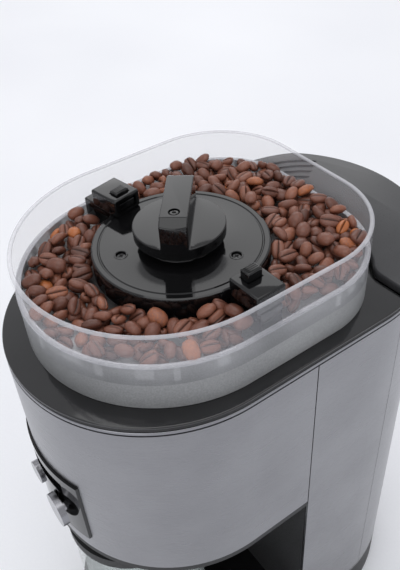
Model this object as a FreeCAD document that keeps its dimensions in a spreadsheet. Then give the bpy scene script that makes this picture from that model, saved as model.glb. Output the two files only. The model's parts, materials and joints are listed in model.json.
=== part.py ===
import FreeCAD, Part
import math
import os
import re
from FreeCAD import Placement, Rotation, Vector

import Sketcher

# Electric burr coffee grinder, millimetres, +Z up, front towards -Y.
# Origin: middle of the body's footprint, on the surface it stands on.

os.makedirs("parts", exist_ok=True)
doc = FreeCAD.newDocument("BurrGrinder")
sheet = doc.addObject("Spreadsheet::Sheet", "Sizes")

SIZES = {
    # body
    "body_half": 81.0, "body_arc_y": 43.7, "foot_tall": 3.0, "base_tall": 28.0,
    "deck_thick": 3.0, "steel": 1.5, "plastic": 2.5, "gap": 0.3, "seam_y": -2.6, "rear_seam_y": 58.7,
    "head_bottom": 172.0, "head_floor_thick": 4.0, "plate_top": 300.0, "plate_thick": 1.6,
    "band_tall": 4.1, "foot_rad": 9.0, "foot_x": 52.0, "foot_y": 60.0,
    "foot_screw_rad": 1.7, "screw_head": 1.4,
    # burr axis and drive train
    "axis_y": -25.3, "shaft_rad": 5.0, "bush_wall": 4.0, "fit": 0.05, "coarse_mod": 1.5, "fine_mod": 1.0,
    "wheel_teeth": 42.0, "pinion_teeth": 14.0, "gear_floor": 212.0, "gearbox_tall": 31.0,
    "screw_rad": 0.95, "gear_case_rad": 37.5, "gear_case_half": 28.0, "idler_rad": 3.0, "shelf_thick": 3.5,
    "frame_x": 64.0, "frame_thick": 3.0,
    "motor_rad": 30.0, "motor_tall": 78.0, "motor_wall": 2.0, "motor_shaft_rad": 3.0,
    # grinding chamber and burrs
    "chamber_floor": 245.0, "chamber_rad": 42.0, "chamber_wall": 3.0, "flange_rad": 48.0,
    "sweeper_z": 252.0, "sweeper_rad": 36.5, "burr_z": 263.0, "burr_tall": 28.0,
    "cone_low_rad": 18.0, "cone_top_rad": 9.0, "burr_gap": 1.2, "cone_grooves": 10.0, "burr_groove": 2.2,
    "nut_end_rad": 3.0, "nut_rad": 6.5, "ring_rad": 28.0, "carrier_rad": 36.0,
    "spout_half": 10.0, "spout_tall": 13.0, "chute_half": 13.0, "chute_y": -79.0, "chute_deep": 11.0,
    "chute_wall": 2.0, "chute_drop": 6.0,
    # hopper, cover and knob
    "hop_half": 73.7, "hop_front_y": -37.8, "corner_rad": 49.0, "corner_x": 24.7, "corner_y": 15.7,
    "hop_wall": 2.3, "hop_rise": 0.3, "rim_up": 45.2, "ledge_up": 20.0, "funnel_rad": 68.0,
    "inlet_rad": 38.2, "inlet_wall": 2.2, "cover_up": 34.5, "cover_rad": 46.0, "cover_thick": 3.0,
    "cover_skirt": 12.0, "groove_in": 4.0, "dimple_rad": 2.9, "dimple_at": 31.5, "dimple_turn": 66.0,
    "knob_rad": 23.6, "knob_gap": 4.3, "knob_tall": 6.8, "bar_width": 13.6, "bar_up": 26.5,
    "knob_turn": -39.6, "spindle_rad": 4.0, "marker_at": 13.6, "small_screw_rad": 1.2,
    "small_head_rad": 2.3, "collar_rad": 34.5,
    # hold-down latches, measured outwards from the burr axis
    "latch_long": 20.0, "latch_wide": 17.0, "latch_tall": 10.0, "latch_travel": 10.0,
    "latch_inner": 39.0, "key_long": 6.0, "key_wide": 8.6, "right_turn": 2.0, "left_turn": 191.0,
    # rear lid and its hinge
    "lid_low": 3.0, "lid_high": 12.0, "lid_wall": 2.5, "lid_gap": 1.2, "seam_mid": 71.0,
    "seam_rad": 30.0, "seam_x": 30.0, "hinge_out": 2.9, "hinge_up": 0.5, "barrel_rad": 2.6,
    "pin_rad": 1.2, "knuckle_half": 13.6, "hinge_half": 22.0, "tub_half": 38.0, "tub_back": 108.0,
    "tub_floor": 216.0,
    # front controls, jar and rear sockets
    "panel_half": 30.0, "panel_low": 188.0, "panel_tall": 48.0, "panel_out": 1.5, "dial_rad": 10.0,
    "button_rad": 7.0, "jar_rad": 42.0, "jar_tall": 108.0, "jar_wall": 2.5, "jar_lid_tall": 8.0,
    "button_at": -15.0, "dial_at": 14.0, "dial_pin_rad": 3.0, "row_up": 18.0, "window_half": 18.0,
    "jar_mouth_rad": 18.0, "inlet_low": 56.0, "inlet_tall": 24.0, "inlet_wide": 28.0, "switch_wide": 15.0,
}
for row, (alias, value) in enumerate(SIZES.items(), start=1):
    sheet.set(f"A{row}", alias)
    sheet.set(f"B{row}", str(value))
    sheet.setAlias(f"B{row}", alias)
doc.recompute()

ALIAS = re.compile(r"\b(" + "|".join(sorted(SIZES, key=len, reverse=True)) + r")\b")


def cells(text):
    """Point every size name in an expression at its spreadsheet cell."""
    return ALIAS.sub(r"Sizes.\1", str(text))


def number(text):
    """The present value of an expression."""
    return float(sheet.evalExpression(cells(text)))


def bind(thing, prop, text):
    """Bind a property to an expression over the named sizes."""
    thing.setExpression(prop, cells(text))


# levels that several pieces share
BASE_TOP = "(foot_tall + base_tall + deck_thick)"
BAND_TOP = "(plate_top - plate_thick - 0.2)"
PANEL_TOP = "(plate_top - plate_thick - band_tall - 0.6)"
LEDGE = "(plate_top + ledge_up)"
COVER_TOP = "(plate_top + cover_up)"
RIM = "(plate_top + rim_up)"
KNOB_LOW = "(plate_top + cover_up + knob_gap)"
REAR_END = "(body_arc_y + body_half + hinge_out + barrel_rad)"
HINGE_Y = "(body_arc_y + body_half + hinge_out)"
HINGE_Z = "(plate_top + hinge_up)"
IDLER_Y = "(axis_y + coarse_mod * (wheel_teeth + pinion_teeth) / 2)"
MOTOR_Y = "(axis_y + (coarse_mod + fine_mod) * (wheel_teeth + pinion_teeth) / 2)"
PANEL_FRONT = "(body_arc_y + body_half + panel_out)"

counter = [0]


def part(kind, name=None):
    """A new document object with a name of its own."""
    counter[0] += 1
    return doc.addObject(kind, name or f"Step{counter[0]:03d}")


def place(thing, x="0", y="0", z="0"):
    """Bind a piece's place."""
    for axis, text in zip("xyz", (x, y, z)):
        bind(thing, f"Placement.Base.{axis}", text)
    return thing


def box(x0, x1, y0, y1, z0, z1):
    """A box between six bound faces."""
    solid = part("Part::Box")
    for prop, low, high in (("Length", x0, x1), ("Width", y0, y1), ("Height", z0, z1)):
        bind(solid, prop, f"({high}) - ({low})")
    return place(solid, x0, y0, z0)


def rod(rad, z0, z1, x="0", y="axis_y"):
    """An upright cylinder."""
    solid = part("Part::Cylinder")
    bind(solid, "Radius", rad)
    bind(solid, "Height", f"({z1}) - ({z0})")
    return place(solid, x, y, z0)


def bar(rad, length, x, y, z, direction):
    """A cylinder that lies along a direction from its start point."""
    solid = part("Part::Cylinder")
    bind(solid, "Radius", rad)
    bind(solid, "Height", length)
    solid.Placement = Placement(Vector(), Rotation(Vector(0, 0, 1), direction))
    return place(solid, x, y, z)


def join(*pieces, label=None):
    """One solid fused from several."""
    fused = part("Part::MultiFuse")
    fused.Shapes = list(pieces)
    fused.Refine = True
    if label:
        fused.Label = label
    return fused


def cut(base, *tools, label=None):
    """A solid with others taken from it."""
    tool = tools[0]
    if len(tools) > 1:
        tool = part("Part::Compound")
        tool.Links = list(tools)
    result = part("Part::Cut")
    result.Base = base
    result.Tool = tool
    result.Refine = True
    if label:
        result.Label = label
    return result


def common(first, second, label=None):
    """What two solids share."""
    result = part("Part::Common")
    result.Base = first
    result.Tool = second
    result.Refine = True
    if label:
        result.Label = label
    return result


def group(*pieces, label):
    """Identical fasteners, each a separate solid, in one node."""
    result = part("Part::Compound")
    result.Links = list(pieces)
    result.Label = label
    return result


def stadium(half, z0, z1):
    """The body's plan: a half round at the front and the rear, straight between."""
    return join(
        rod(half, z0, z1, y="-body_arc_y"),
        rod(half, z0, z1, y="body_arc_y"),
        box(f"-({half})", half, "-body_arc_y", "body_arc_y", z0, z1),
    )


def wall_ring(thick, z0, z1, outer="body_half"):
    """An upright wall that follows the body's plan."""
    return cut(stadium(outer, z0, z1), stadium(f"{outer} - {thick}", f"{z0} - 1", f"{z1} + 1"))


def hopper_plan(inset, z0, z1):
    """The hopper's plan: round front, straight sides, two large rear corners."""
    front, side = f"(hop_half - {inset})", f"(corner_rad - {inset})"
    return join(
        rod(front, z0, z1, y="hop_front_y"),
        box(f"-{front}", front, "hop_front_y", "corner_y", z0, z1),
        rod(side, z0, z1, x="corner_x", y="corner_y"),
        rod(side, z0, z1, x="-corner_x", y="corner_y"),
        box("-corner_x", "corner_x", "corner_y - 1", f"corner_y + {side}", z0, z1),
    )


def origin_plane(body, role):
    """One of a body's own origin planes."""
    return next(item for item in body.Origin.OriginFeatures if item.Role == role)


def outline(body, role, points):
    """A closed sketch through bound points; a third value rounds the run to the next point.

    The radius is positive where the run turns left and negative where it turns right."""
    sketch = body.newObject("Sketcher::SketchObject", f"Outline{counter[0]:03d}")
    sketch.AttachmentSupport = [(origin_plane(body, role), "")]
    sketch.MapMode = "FlatFace"
    spots = [Vector(number(item[0]), number(item[1]), 0) for item in points]
    for index, item in enumerate(points):
        start, end = spots[index], spots[(index + 1) % len(spots)]
        if len(item) < 3:
            sketch.addGeometry(Part.LineSegment(start, end))
            continue
        radius = number(item[2])
        chord = end - start
        left = Vector(-chord.y, chord.x, 0).normalize()
        reach = math.sqrt(max(radius ** 2 - (chord.Length / 2) ** 2, 0))
        turn = math.copysign(1, radius)
        middle = start + chord / 2 - left * turn * (abs(radius) - reach)
        sketch.addGeometry(Part.Arc(start, middle, end))
    for index, item in enumerate(points):
        after = (index + 1) % len(points)
        arc, next_arc = len(item) > 2, len(points[after]) > 2
        end_point = 1 if arc and number(item[2]) < 0 else 2
        start_point = 2 if next_arc and number(points[after][2]) < 0 else 1
        sketch.addConstraint(Sketcher.Constraint("Coincident", index, end_point, after, start_point))
    for index, item in enumerate(points):
        first = 2 if len(item) > 2 and number(item[2]) < 0 else 1
        for kind, text in (("DistanceX", item[0]), ("DistanceY", item[1])):
            fixed = Sketcher.Constraint(kind, -1, 1, index, first, number(text))
            bind(sketch, f"Constraints[{sketch.addConstraint(fixed)}]", text)
        if len(item) > 2:
            size = Sketcher.Constraint("Radius", index, abs(number(item[2])))
            bind(sketch, f"Constraints[{sketch.addConstraint(size)}]", f"abs({item[2]})")
    return sketch


def revolved(label, points, x="0", y="axis_y"):
    """A turned piece: its half section, as (radius, height), swept about an upright axis."""
    body = part("PartDesign::Body")
    sketch = outline(body, "XZ_Plane", points)
    sweep = body.newObject("PartDesign::Revolution", f"Turned{counter[0]:03d}")
    sweep.Profile = sketch
    sweep.ReferenceAxis = (sketch, ["V_Axis"])
    sweep.Angle = 360
    sketch.Visibility = False
    body.Label = label
    return place(body, x, y)


def tube(label, inner, outer, z0, z1, x="0", y="axis_y"):
    """A plain ring."""
    return revolved(label, [(inner, z0), (outer, z0), (outer, z1), (inner, z1)], x, y)


def padded(label, role, points, length, midplane=False):
    """A sketch padded square to its plane."""
    body = part("PartDesign::Body")
    sketch = outline(body, role, points)
    pad = body.newObject("PartDesign::Pad", f"Pad{counter[0]:03d}")
    pad.Profile = sketch
    bind(pad, "Length", length)
    pad.Midplane = midplane
    body.Label = label
    return body


NODES = []


def keep(piece, label=None):
    """Note a finished sub-part, under its own label."""
    if label:
        piece.Label = label
    NODES.append(piece)
    return piece


def make_base():
    """The pan, its deck, the feet and their screws."""
    pan_top = "(foot_tall + base_tall)"
    tray = cut(stadium("body_half", "foot_tall", pan_top),
               stadium("body_half - plastic", "foot_tall + plastic", f"{pan_top} + 1"))
    corners = [(sx, sy) for sx in ("", "-") for sy in ("", "-")]
    holes = [rod("foot_screw_rad + fit", "0", pan_top, f"{sx}foot_x", f"{sy}foot_y") for sx, sy in corners]
    keep(cut(tray, *holes, label="base_pan"))
    keep(stadium("body_half", pan_top, BASE_TOP), "base_deck")
    feet = [cut(rod("foot_rad", "0", "foot_tall", f"{sx}foot_x", f"{sy}foot_y"),
                rod("foot_screw_rad + screw_head + gap", "-1", "foot_tall + 1", f"{sx}foot_x",
                    f"{sy}foot_y")) for sx, sy in corners]
    keep(group(*feet, label="rubber_feet"))
    screws = [join(rod("foot_screw_rad + screw_head", "0.8", "foot_tall", f"{sx}foot_x", f"{sy}foot_y"),
                   rod("foot_screw_rad", "foot_tall - 1", "foot_tall + 12", f"{sx}foot_x", f"{sy}foot_y"))
              for sx, sy in corners]
    keep(group(*screws, label="base_screws"))


def make_casing():
    """The sheet metal and moulded covers round the column and the head."""
    skin = "(body_half + 5)"
    for side, x0, x1 in (("left", f"-{skin}", "0"), ("right", "0", skin)):
        zone = box(x0, x1, "seam_y + gap", "rear_seam_y - gap", BASE_TOP, PANEL_TOP)
        keep(common(wall_ring("steel", BASE_TOP, PANEL_TOP), zone, f"side_panel_{side}"))

    rear = common(wall_ring("steel", BASE_TOP, PANEL_TOP),
                  box(f"-{skin}", skin, "rear_seam_y", REAR_END, BASE_TOP, PANEL_TOP))
    sockets = [box("-inlet_wide - gap - 5", "gap - 5", "body_arc_y", REAR_END, "inlet_low - gap",
                   "inlet_low + inlet_tall + gap"),
               box("5 - gap", "5 + switch_wide + gap", "body_arc_y", REAR_END, "inlet_low - gap",
                   "inlet_low + inlet_tall + gap")]
    knuckles = []
    for sign in ("", "-"):
        low, high = (f"{sign}(knuckle_half + 0.4)", f"{sign}hinge_half")
        x0, x1 = (low, high) if sign == "" else (high, low)
        arm = box(x0, x1, f"{HINGE_Y} - barrel_rad", REAR_END, f"{PANEL_TOP} - 9", HINGE_Z)
        root = box(x0, x1, "body_arc_y + body_half - 5", f"{HINGE_Y}", f"{PANEL_TOP} - 9", PANEL_TOP)
        barrel = bar("barrel_rad", "hinge_half - knuckle_half - 0.4", x0, HINGE_Y, HINGE_Z, Vector(1, 0, 0))
        knuckles.append(join(arm, root, barrel))
    pin_hole = bar("pin_rad", "2 * hinge_half + 2", "-hinge_half - 1", HINGE_Y, HINGE_Z, Vector(1, 0, 0))
    keep(cut(join(cut(rear, *sockets), *knuckles), pin_hole, label="rear_shell"))

    head_zone = box(f"-{skin}", skin, f"-{REAR_END}", "seam_y - gap", "head_bottom", PANEL_TOP)
    panel_hole = box("-panel_half - gap", "panel_half + gap", f"-{REAR_END}", "-body_arc_y - 10",
                     "panel_low - gap", "panel_low + panel_tall + gap")
    head = common(wall_ring("steel", "head_bottom + head_floor_thick", PANEL_TOP), head_zone)
    keep(cut(head, panel_hole, label="head_shell"))

    floor_zone = box(f"-{skin}", skin, f"-{REAR_END}", "seam_y - gap", "head_bottom",
                     "head_bottom + head_floor_thick")
    outlet = box("-chute_half - gap", "chute_half + gap", "chute_y - chute_deep - gap",
                 "chute_y + chute_deep + gap", "head_bottom - 1", "head_bottom + head_floor_thick + 1")
    keep(cut(common(stadium("body_half", "head_bottom", "head_bottom + head_floor_thick"), floor_zone),
             outlet, label="head_floor"))
    keep(box("-(body_half - steel - gap)", "body_half - steel - gap", "seam_y", "seam_y + plastic",
             BASE_TOP, "head_bottom + head_floor_thick"), "bay_wall")
    keep(wall_ring("plastic", f"{BAND_TOP} - band_tall", BAND_TOP), "trim_band")


def make_frame():
    """Two upright cheeks and the shelf that carries the gearbox above and the motor below."""
    cheeks = [box(x0, x1, "seam_y + plastic + gap", "body_arc_y + 30", BASE_TOP, "gear_floor")
              for x0, x1 in (("-frame_x", "-frame_x + frame_thick"), ("frame_x - frame_thick", "frame_x"))]
    shelf = box("-frame_x", "frame_x", "axis_y - gear_case_rad", "body_arc_y + 30",
                "gear_floor - shelf_thick", "gear_floor")
    keep(cut(join(shelf, *cheeks), rod("motor_shaft_rad + 2", "gear_floor - 9", "gear_floor + 9", y=MOTOR_Y),
             label="column_frame"))
    motor_top = "(gear_floor - shelf_thick)"
    motor_low = f"({motor_top} - motor_tall)"
    keep(revolved("motor_can", [
        ("motor_shaft_rad + fit", motor_low), ("motor_rad", motor_low), ("motor_rad", motor_top),
        ("motor_shaft_rad + fit", motor_top), ("motor_shaft_rad + fit", f"{motor_top} - motor_wall"),
        ("motor_rad - motor_wall", f"{motor_top} - motor_wall"),
        ("motor_rad - motor_wall", f"{motor_low} + motor_wall"),
        ("motor_shaft_rad + fit", f"{motor_low} + motor_wall")], y=MOTOR_Y))
    core_low, core_top = f"{motor_low} + motor_wall + 6", f"{motor_top} - motor_wall - 6"
    shaft_top = "gear_floor + gearbox_tall - 5"
    keep(revolved("motor_rotor", [
        ("0", f"{motor_low} + 0.5"), ("motor_shaft_rad", f"{motor_low} + 0.5"),
        ("motor_shaft_rad", core_low),
        ("motor_rad - motor_wall - 2", core_low), ("motor_rad - motor_wall - 2", core_top),
        ("motor_shaft_rad", core_top), ("motor_shaft_rad", shaft_top), ("0", shaft_top)], y=MOTOR_Y))


def gear_shape(module, teeth, face, bore, tooth_at):
    """A straight gear with involute flanks; tooth_at is the direction, in degrees, of one tooth."""
    pressure, slack = math.radians(25), 0.06 * module
    pitch = module * teeth / 2
    base, tip, root = pitch * math.cos(pressure), pitch + 0.9 * module, pitch - 1.2 * module
    half_at_pitch = math.pi / (2 * teeth) - slack / pitch

    def involute(radius):
        angle = math.acos(min(1, base / radius))
        return math.tan(angle) - angle

    def flank(radius):
        return half_at_pitch + involute(pitch) - involute(max(radius, base))

    radii = [root, max(root, base) + 0.01, pitch, (pitch + tip) / 2, tip]
    corners = []
    for tooth in range(teeth):
        middle = math.radians(tooth_at) + 2 * math.pi * tooth / teeth
        profile = [(radius, -flank(radius)) for radius in radii]
        profile += [(radius, flank(radius)) for radius in radii[::-1]]
        corners += [Vector(r * math.cos(middle + a), r * math.sin(middle + a), 0) for r, a in profile]
    face_plan = Part.Face(Part.makePolygon(corners + corners[:1]))
    solid = face_plan.extrude(Vector(0, 0, face))
    return solid.cut(Part.makeCylinder(bore, face + 2, Vector(0, 0, -1)))


def gear(label, shape, y, z):
    """A gear as a document object at its place."""
    wheel = part("Part::Feature", label)
    wheel.Shape = shape
    wheel.Label = label
    return place(wheel, "0", y, z)


def make_gears():
    """Motor pinion, compound idler and the wheel on the burr shaft, in mesh at rest."""
    wheel_teeth, pinion_teeth = int(number("wheel_teeth")), int(number("pinion_teeth"))
    coarse, fine, towards_rear, towards_front = number("coarse_mod"), number("fine_mod"), 90, 270
    half_pitch = 180 / pinion_teeth
    shaft, idler_bore = number("shaft_rad"), number("idler_rad + fit")
    wheel = gear_shape(coarse, wheel_teeth, 9, shaft, towards_rear)
    keep(gear("output_gear", wheel, "axis_y", "gear_floor + 8"))
    small = gear_shape(coarse, pinion_teeth, 10, idler_bore, towards_front + half_pitch)
    large = gear_shape(fine, wheel_teeth, 6, idler_bore, towards_rear)
    large.translate(Vector(0, 0, 10))
    keep(gear("idler_gear", small.fuse(large), IDLER_Y, "gear_floor + 7.5"))
    keep(gear("motor_pinion", gear_shape(fine, pinion_teeth, 8, number("motor_shaft_rad"),
                                         towards_front + half_pitch), MOTOR_Y, "gear_floor + 17"))


def case_plan(grow, z0, z1):
    """The gearbox's plan: round about the burr shaft, straight back past the motor shaft."""
    return join(rod(f"gear_case_rad + {grow}", z0, z1),
                box(f"-gear_case_half - {grow}", f"gear_case_half + {grow}", "axis_y",
                    f"{MOTOR_Y} + fine_mod * pinion_teeth / 2 + 5 + {grow}", z0, z1))


def make_gearbox():
    """The case, its cover, screws, bushes and the fixed idler pin."""
    floor_top, top = "(gear_floor + plastic)", "(gear_floor + gearbox_tall - plastic)"
    at_front, at_rear = "(gear_case_rad - plastic / 2) * 0.7071", "(gear_case_half - plastic / 2)"
    places = [(f"-{at_front}", f"axis_y - {at_front}"), (at_front, f"axis_y - {at_front}"),
              (f"-{at_rear}", f"{MOTOR_Y} + 2"), (at_rear, f"{MOTOR_Y} + 2")]
    holes = [rod("screw_rad", f"{top} - 8", f"{top} + plastic + 1", x, y) for x, y in places]
    bores = [rod("shaft_rad + bush_wall", "gear_floor - 1", f"{floor_top} + 1"),
             rod("motor_shaft_rad + 2", "gear_floor - 1", f"{floor_top} + 1", y=MOTOR_Y),
             rod("idler_rad", "gear_floor - 1", f"{floor_top} + 1", y=IDLER_Y)]
    keep(cut(case_plan("0", "gear_floor", top), case_plan("(-plastic)", floor_top, f"{top} + 1"),
             *bores, *holes, label="gearbox_case"))
    keep(cut(case_plan("0", top, f"{top} + plastic"),
             rod("shaft_rad + bush_wall", f"{top} - 1", f"{top} + 5"),
             rod("idler_rad", f"{top} - 1", f"{top} + 5", y=IDLER_Y), *holes, label="gearbox_cover"))
    screws = [rod("screw_rad - fit", f"{top} - 7", f"{top} + plastic", x, y) for x, y in places]
    keep(group(*screws, label="gearbox_screws"))
    keep(rod("idler_rad", "gear_floor", f"{top} + plastic", y=IDLER_Y), "idler_pin")
    keep(tube("bearing_lower", "shaft_rad + fit", "shaft_rad + bush_wall", "gear_floor", "gear_floor + 6"))
    keep(tube("bearing_upper", "shaft_rad + fit", "shaft_rad + bush_wall", top, "chamber_floor"))


def make_chamber():
    """The grinding chamber, its outlet and the two burrs."""
    floor_top, mouth = "(chamber_floor + chamber_wall)", "(plate_top - plate_thick - 0.2)"
    bowl = revolved("chamber_bowl", [
        ("shaft_rad + bush_wall", "chamber_floor"), ("chamber_rad", "chamber_floor"),
        ("chamber_rad", f"{mouth} - 4"),
        ("flange_rad", f"{mouth} - 4"), ("flange_rad", mouth), ("chamber_rad - chamber_wall", mouth),
        ("chamber_rad - chamber_wall", floor_top), ("shaft_rad + bush_wall", floor_top)])
    spout_end = "(chute_y + chute_deep)"
    spout = box("-spout_half - 2", "spout_half + 2", spout_end, "axis_y - chamber_rad + 2",
                floor_top, f"{floor_top} + spout_tall + 2")
    passage = box("-spout_half", "spout_half", f"{spout_end} - 1", "axis_y - chamber_rad + 6",
                  f"{floor_top} + 1.5", f"{floor_top} + spout_tall")
    keep(cut(join(bowl, spout), passage, label="grinding_chamber"))

    duct_top = f"({floor_top} + spout_tall + 5)"
    duct = box("-chute_half", "chute_half", "chute_y - chute_deep", "chute_y + chute_deep",
               "head_bottom - chute_drop", duct_top)
    hollow = box("-chute_half + chute_wall", "chute_half - chute_wall", "chute_y - chute_deep + chute_wall",
                 "chute_y + chute_deep - chute_wall", "head_bottom - chute_drop - 1",
                 f"{duct_top} - chute_wall")
    window = box("-spout_half", "spout_half", "chute_y", f"{spout_end} + 1", f"{floor_top} + 1.5",
                 f"{floor_top} + spout_tall")
    keep(cut(duct, hollow, window, label="chute"))
    keep(tube("shaft_seal", "shaft_rad + fit", "shaft_rad + bush_wall", "chamber_floor",
              f"{floor_top} + 0.8"))

    burr_top, burr_teeth = "(burr_z + burr_tall)", int(number("cone_grooves"))
    keep(revolved("drive_shaft", [
        ("0", "gear_floor + 1"), ("shaft_rad", "gear_floor + 1"), ("shaft_rad", burr_top),
        ("nut_end_rad", burr_top), ("nut_end_rad", f"{burr_top} + 5"), ("0", f"{burr_top} + 5")]))
    hub = rod("shaft_rad + 5", "sweeper_z", "sweeper_z + 9")
    disc = rod("sweeper_rad - 6", "sweeper_z", "sweeper_z + 2.5")
    paddle = box("0", "sweeper_rad", "axis_y - 2", "axis_y + 2", "sweeper_z", "sweeper_z + 8")
    across = box("-sweeper_rad", "0", "axis_y - 2", "axis_y + 2", "sweeper_z", "sweeper_z + 8")
    keep(cut(join(hub, disc, paddle, across), rod("shaft_rad", "sweeper_z - 1", "sweeper_z + 10"),
             label="sweeper"))
    cone = revolved("burr_blank", [
        ("shaft_rad", "burr_z"), ("cone_low_rad", "burr_z"), ("cone_low_rad", "burr_z + 6"),
        ("cone_top_rad", burr_top), ("shaft_rad", burr_top)])
    teeth = []
    for step in range(burr_teeth):
        turn = Rotation(Vector(0, 0, 1), 360 / burr_teeth * step)
        along = turn.multVec(Vector(1, 0, 0))
        groove = part("Part::Box")
        bind(groove, "Length", "cone_low_rad - cone_top_rad + 2.5")
        bind(groove, "Width", "burr_groove")
        bind(groove, "Height", "burr_tall - 7")
        groove.Placement = Placement(Vector(), turn)
        teeth.append(place(
            groove,
            f"(cone_top_rad - 0.5) * {along.x:.6f} + burr_groove / 2 * {along.y:.6f}",
            f"axis_y + (cone_top_rad - 0.5) * {along.y:.6f} - burr_groove / 2 * {along.x:.6f}",
            "burr_z + 8"))
    keep(cut(cone, *teeth, label="cone_burr"))
    nut = part("Part::Prism")
    nut.Polygon = 6
    bind(nut, "Circumradius", "nut_rad")
    bind(nut, "Height", "4")
    place(nut, "0", "axis_y", burr_top)
    keep(cut(nut, rod("nut_end_rad", f"{burr_top} - 1", f"{burr_top} + 6"), label="burr_nut"))
    keep(revolved("ring_burr", [
        ("cone_low_rad + burr_gap", "burr_z + 2"), ("ring_rad", "burr_z + 2"), ("ring_rad", "burr_z + 24"),
        ("cone_top_rad + 8", "burr_z + 24"), ("cone_low_rad + burr_gap", "burr_z + 8")]))
    keep(tube("burr_carrier", "ring_rad", "carrier_rad", "burr_z + 1", f"{mouth} - 1.4"))


def lid_zone(shrink, z0, z1):
    """What lies behind the wavy seam round the hopper's rear, pulled in by a margin."""
    far = "body_arc_y + body_half + 5"
    behind = box("-body_half - 5", "body_half + 5", f"rear_seam_y + {shrink}", far, z0, z1)
    keep_out = [rod(f"seam_rad + {shrink}", f"{z0} - 1", f"{z1} + 1", x=x, y="seam_mid - seam_rad")
                for x in ("seam_x", "-seam_x")]
    keep_out.append(box("-seam_x", "seam_x", "seam_mid - seam_rad", f"seam_mid + {shrink}", f"{z0} - 1",
                        f"{z1} + 1"))
    return cut(behind, *keep_out)


def make_top():
    """The gloss plate, the hinged lid behind it, the lid's pin and the tub under the lid."""
    low = "(plate_top - plate_thick)"
    lip = cut(wall_ring("plastic", f"{low} - 4", low, outer="(body_half - plastic - gap)"),
              box("-body_half", "body_half", "rear_seam_y - 3", REAR_END, f"{low} - 5", f"{low} + 1"))
    plate = cut(stadium("body_half", low, "plate_top"), lid_zone("0", f"{low} - 1", "plate_top + 1"),
                rod("inlet_rad + 1", f"{low} - 1", "plate_top + 1"))
    keep(join(plate, lip, label="top_plate"))

    rear = "(body_arc_y + body_half)"
    wedge = padded("lid_wedge", "YZ_Plane", [
        ("rear_seam_y - 2", low), (f"{rear} + 1", low), (f"{rear} + 1", "plate_top + lid_high"),
        (f"{rear} - 24", "plate_top + lid_high"), ("rear_seam_y - 2", "plate_top + lid_low")],
        "2 * body_half + 10", midplane=True)
    hollow = padded("lid_hollow", "YZ_Plane", [
        ("rear_seam_y - 3", f"{low} - 1"), (f"{rear} + 2", f"{low} - 1"),
        (f"{rear} + 2", "plate_top + lid_high - lid_wall"),
        (f"{rear} - 24", "plate_top + lid_high - lid_wall"),
        ("rear_seam_y - 3", "plate_top + lid_low - lid_wall")], "2 * body_half + 10", midplane=True)
    tall = "plate_top + lid_high + 5"
    solid = common(wedge, common(stadium("body_half", low, tall), lid_zone("lid_gap", low, tall)))
    inner = common(hollow, common(stadium("body_half - lid_wall", f"{low} - 1", tall),
                                  lid_zone("lid_gap + lid_wall", f"{low} - 1", tall)))
    knuckle = bar("barrel_rad", "2 * knuckle_half", "-knuckle_half", HINGE_Y, HINGE_Z, Vector(1, 0, 0))
    link = box("-knuckle_half", "knuckle_half", f"{rear} - 3", HINGE_Y, low, f"{HINGE_Z} + barrel_rad")
    pin_hole = bar("pin_rad + fit", "2 * knuckle_half + 2", "-knuckle_half - 1", HINGE_Y, HINGE_Z,
                   Vector(1, 0, 0))
    keep(cut(join(cut(solid, inner), link, knuckle), pin_hole, label="rear_lid"))
    keep(bar("pin_rad", "2 * hinge_half", "-hinge_half", HINGE_Y, HINGE_Z, Vector(1, 0, 0)), "lid_hinge_pin")

    band_low = f"({BAND_TOP} - band_tall)"
    deck = common(stadium("body_half - plastic - gap", band_low, f"{band_low} + plastic"),
                  lid_zone("gap", band_low, f"{band_low} + plastic"))
    front = "(seam_mid + plastic)"
    tub = box("-tub_half", "tub_half", front, "tub_back", "tub_floor", f"{band_low} + plastic")
    hollow_tub = box("-tub_half + plastic", "tub_half - plastic", f"{front} + plastic", "tub_back - plastic",
                     "tub_floor + plastic", f"{band_low} + plastic + 1")
    keep(cut(join(deck, tub), hollow_tub, label="rear_compartment"))


def turned(piece, angle, label=None):
    """A copy of a piece turned about the burr axis by a bound angle."""
    holder = part("Part::Compound")
    holder.Links = [piece]
    bind(holder, "Placement.Rotation.Angle", f"{angle} * 1deg")
    bind(holder, "Placement.Base.x", f"axis_y * sin({angle} * 1deg)")
    bind(holder, "Placement.Base.y", f"axis_y - axis_y * cos({angle} * 1deg)")
    if label:
        holder.Label = label
    return holder


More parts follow.
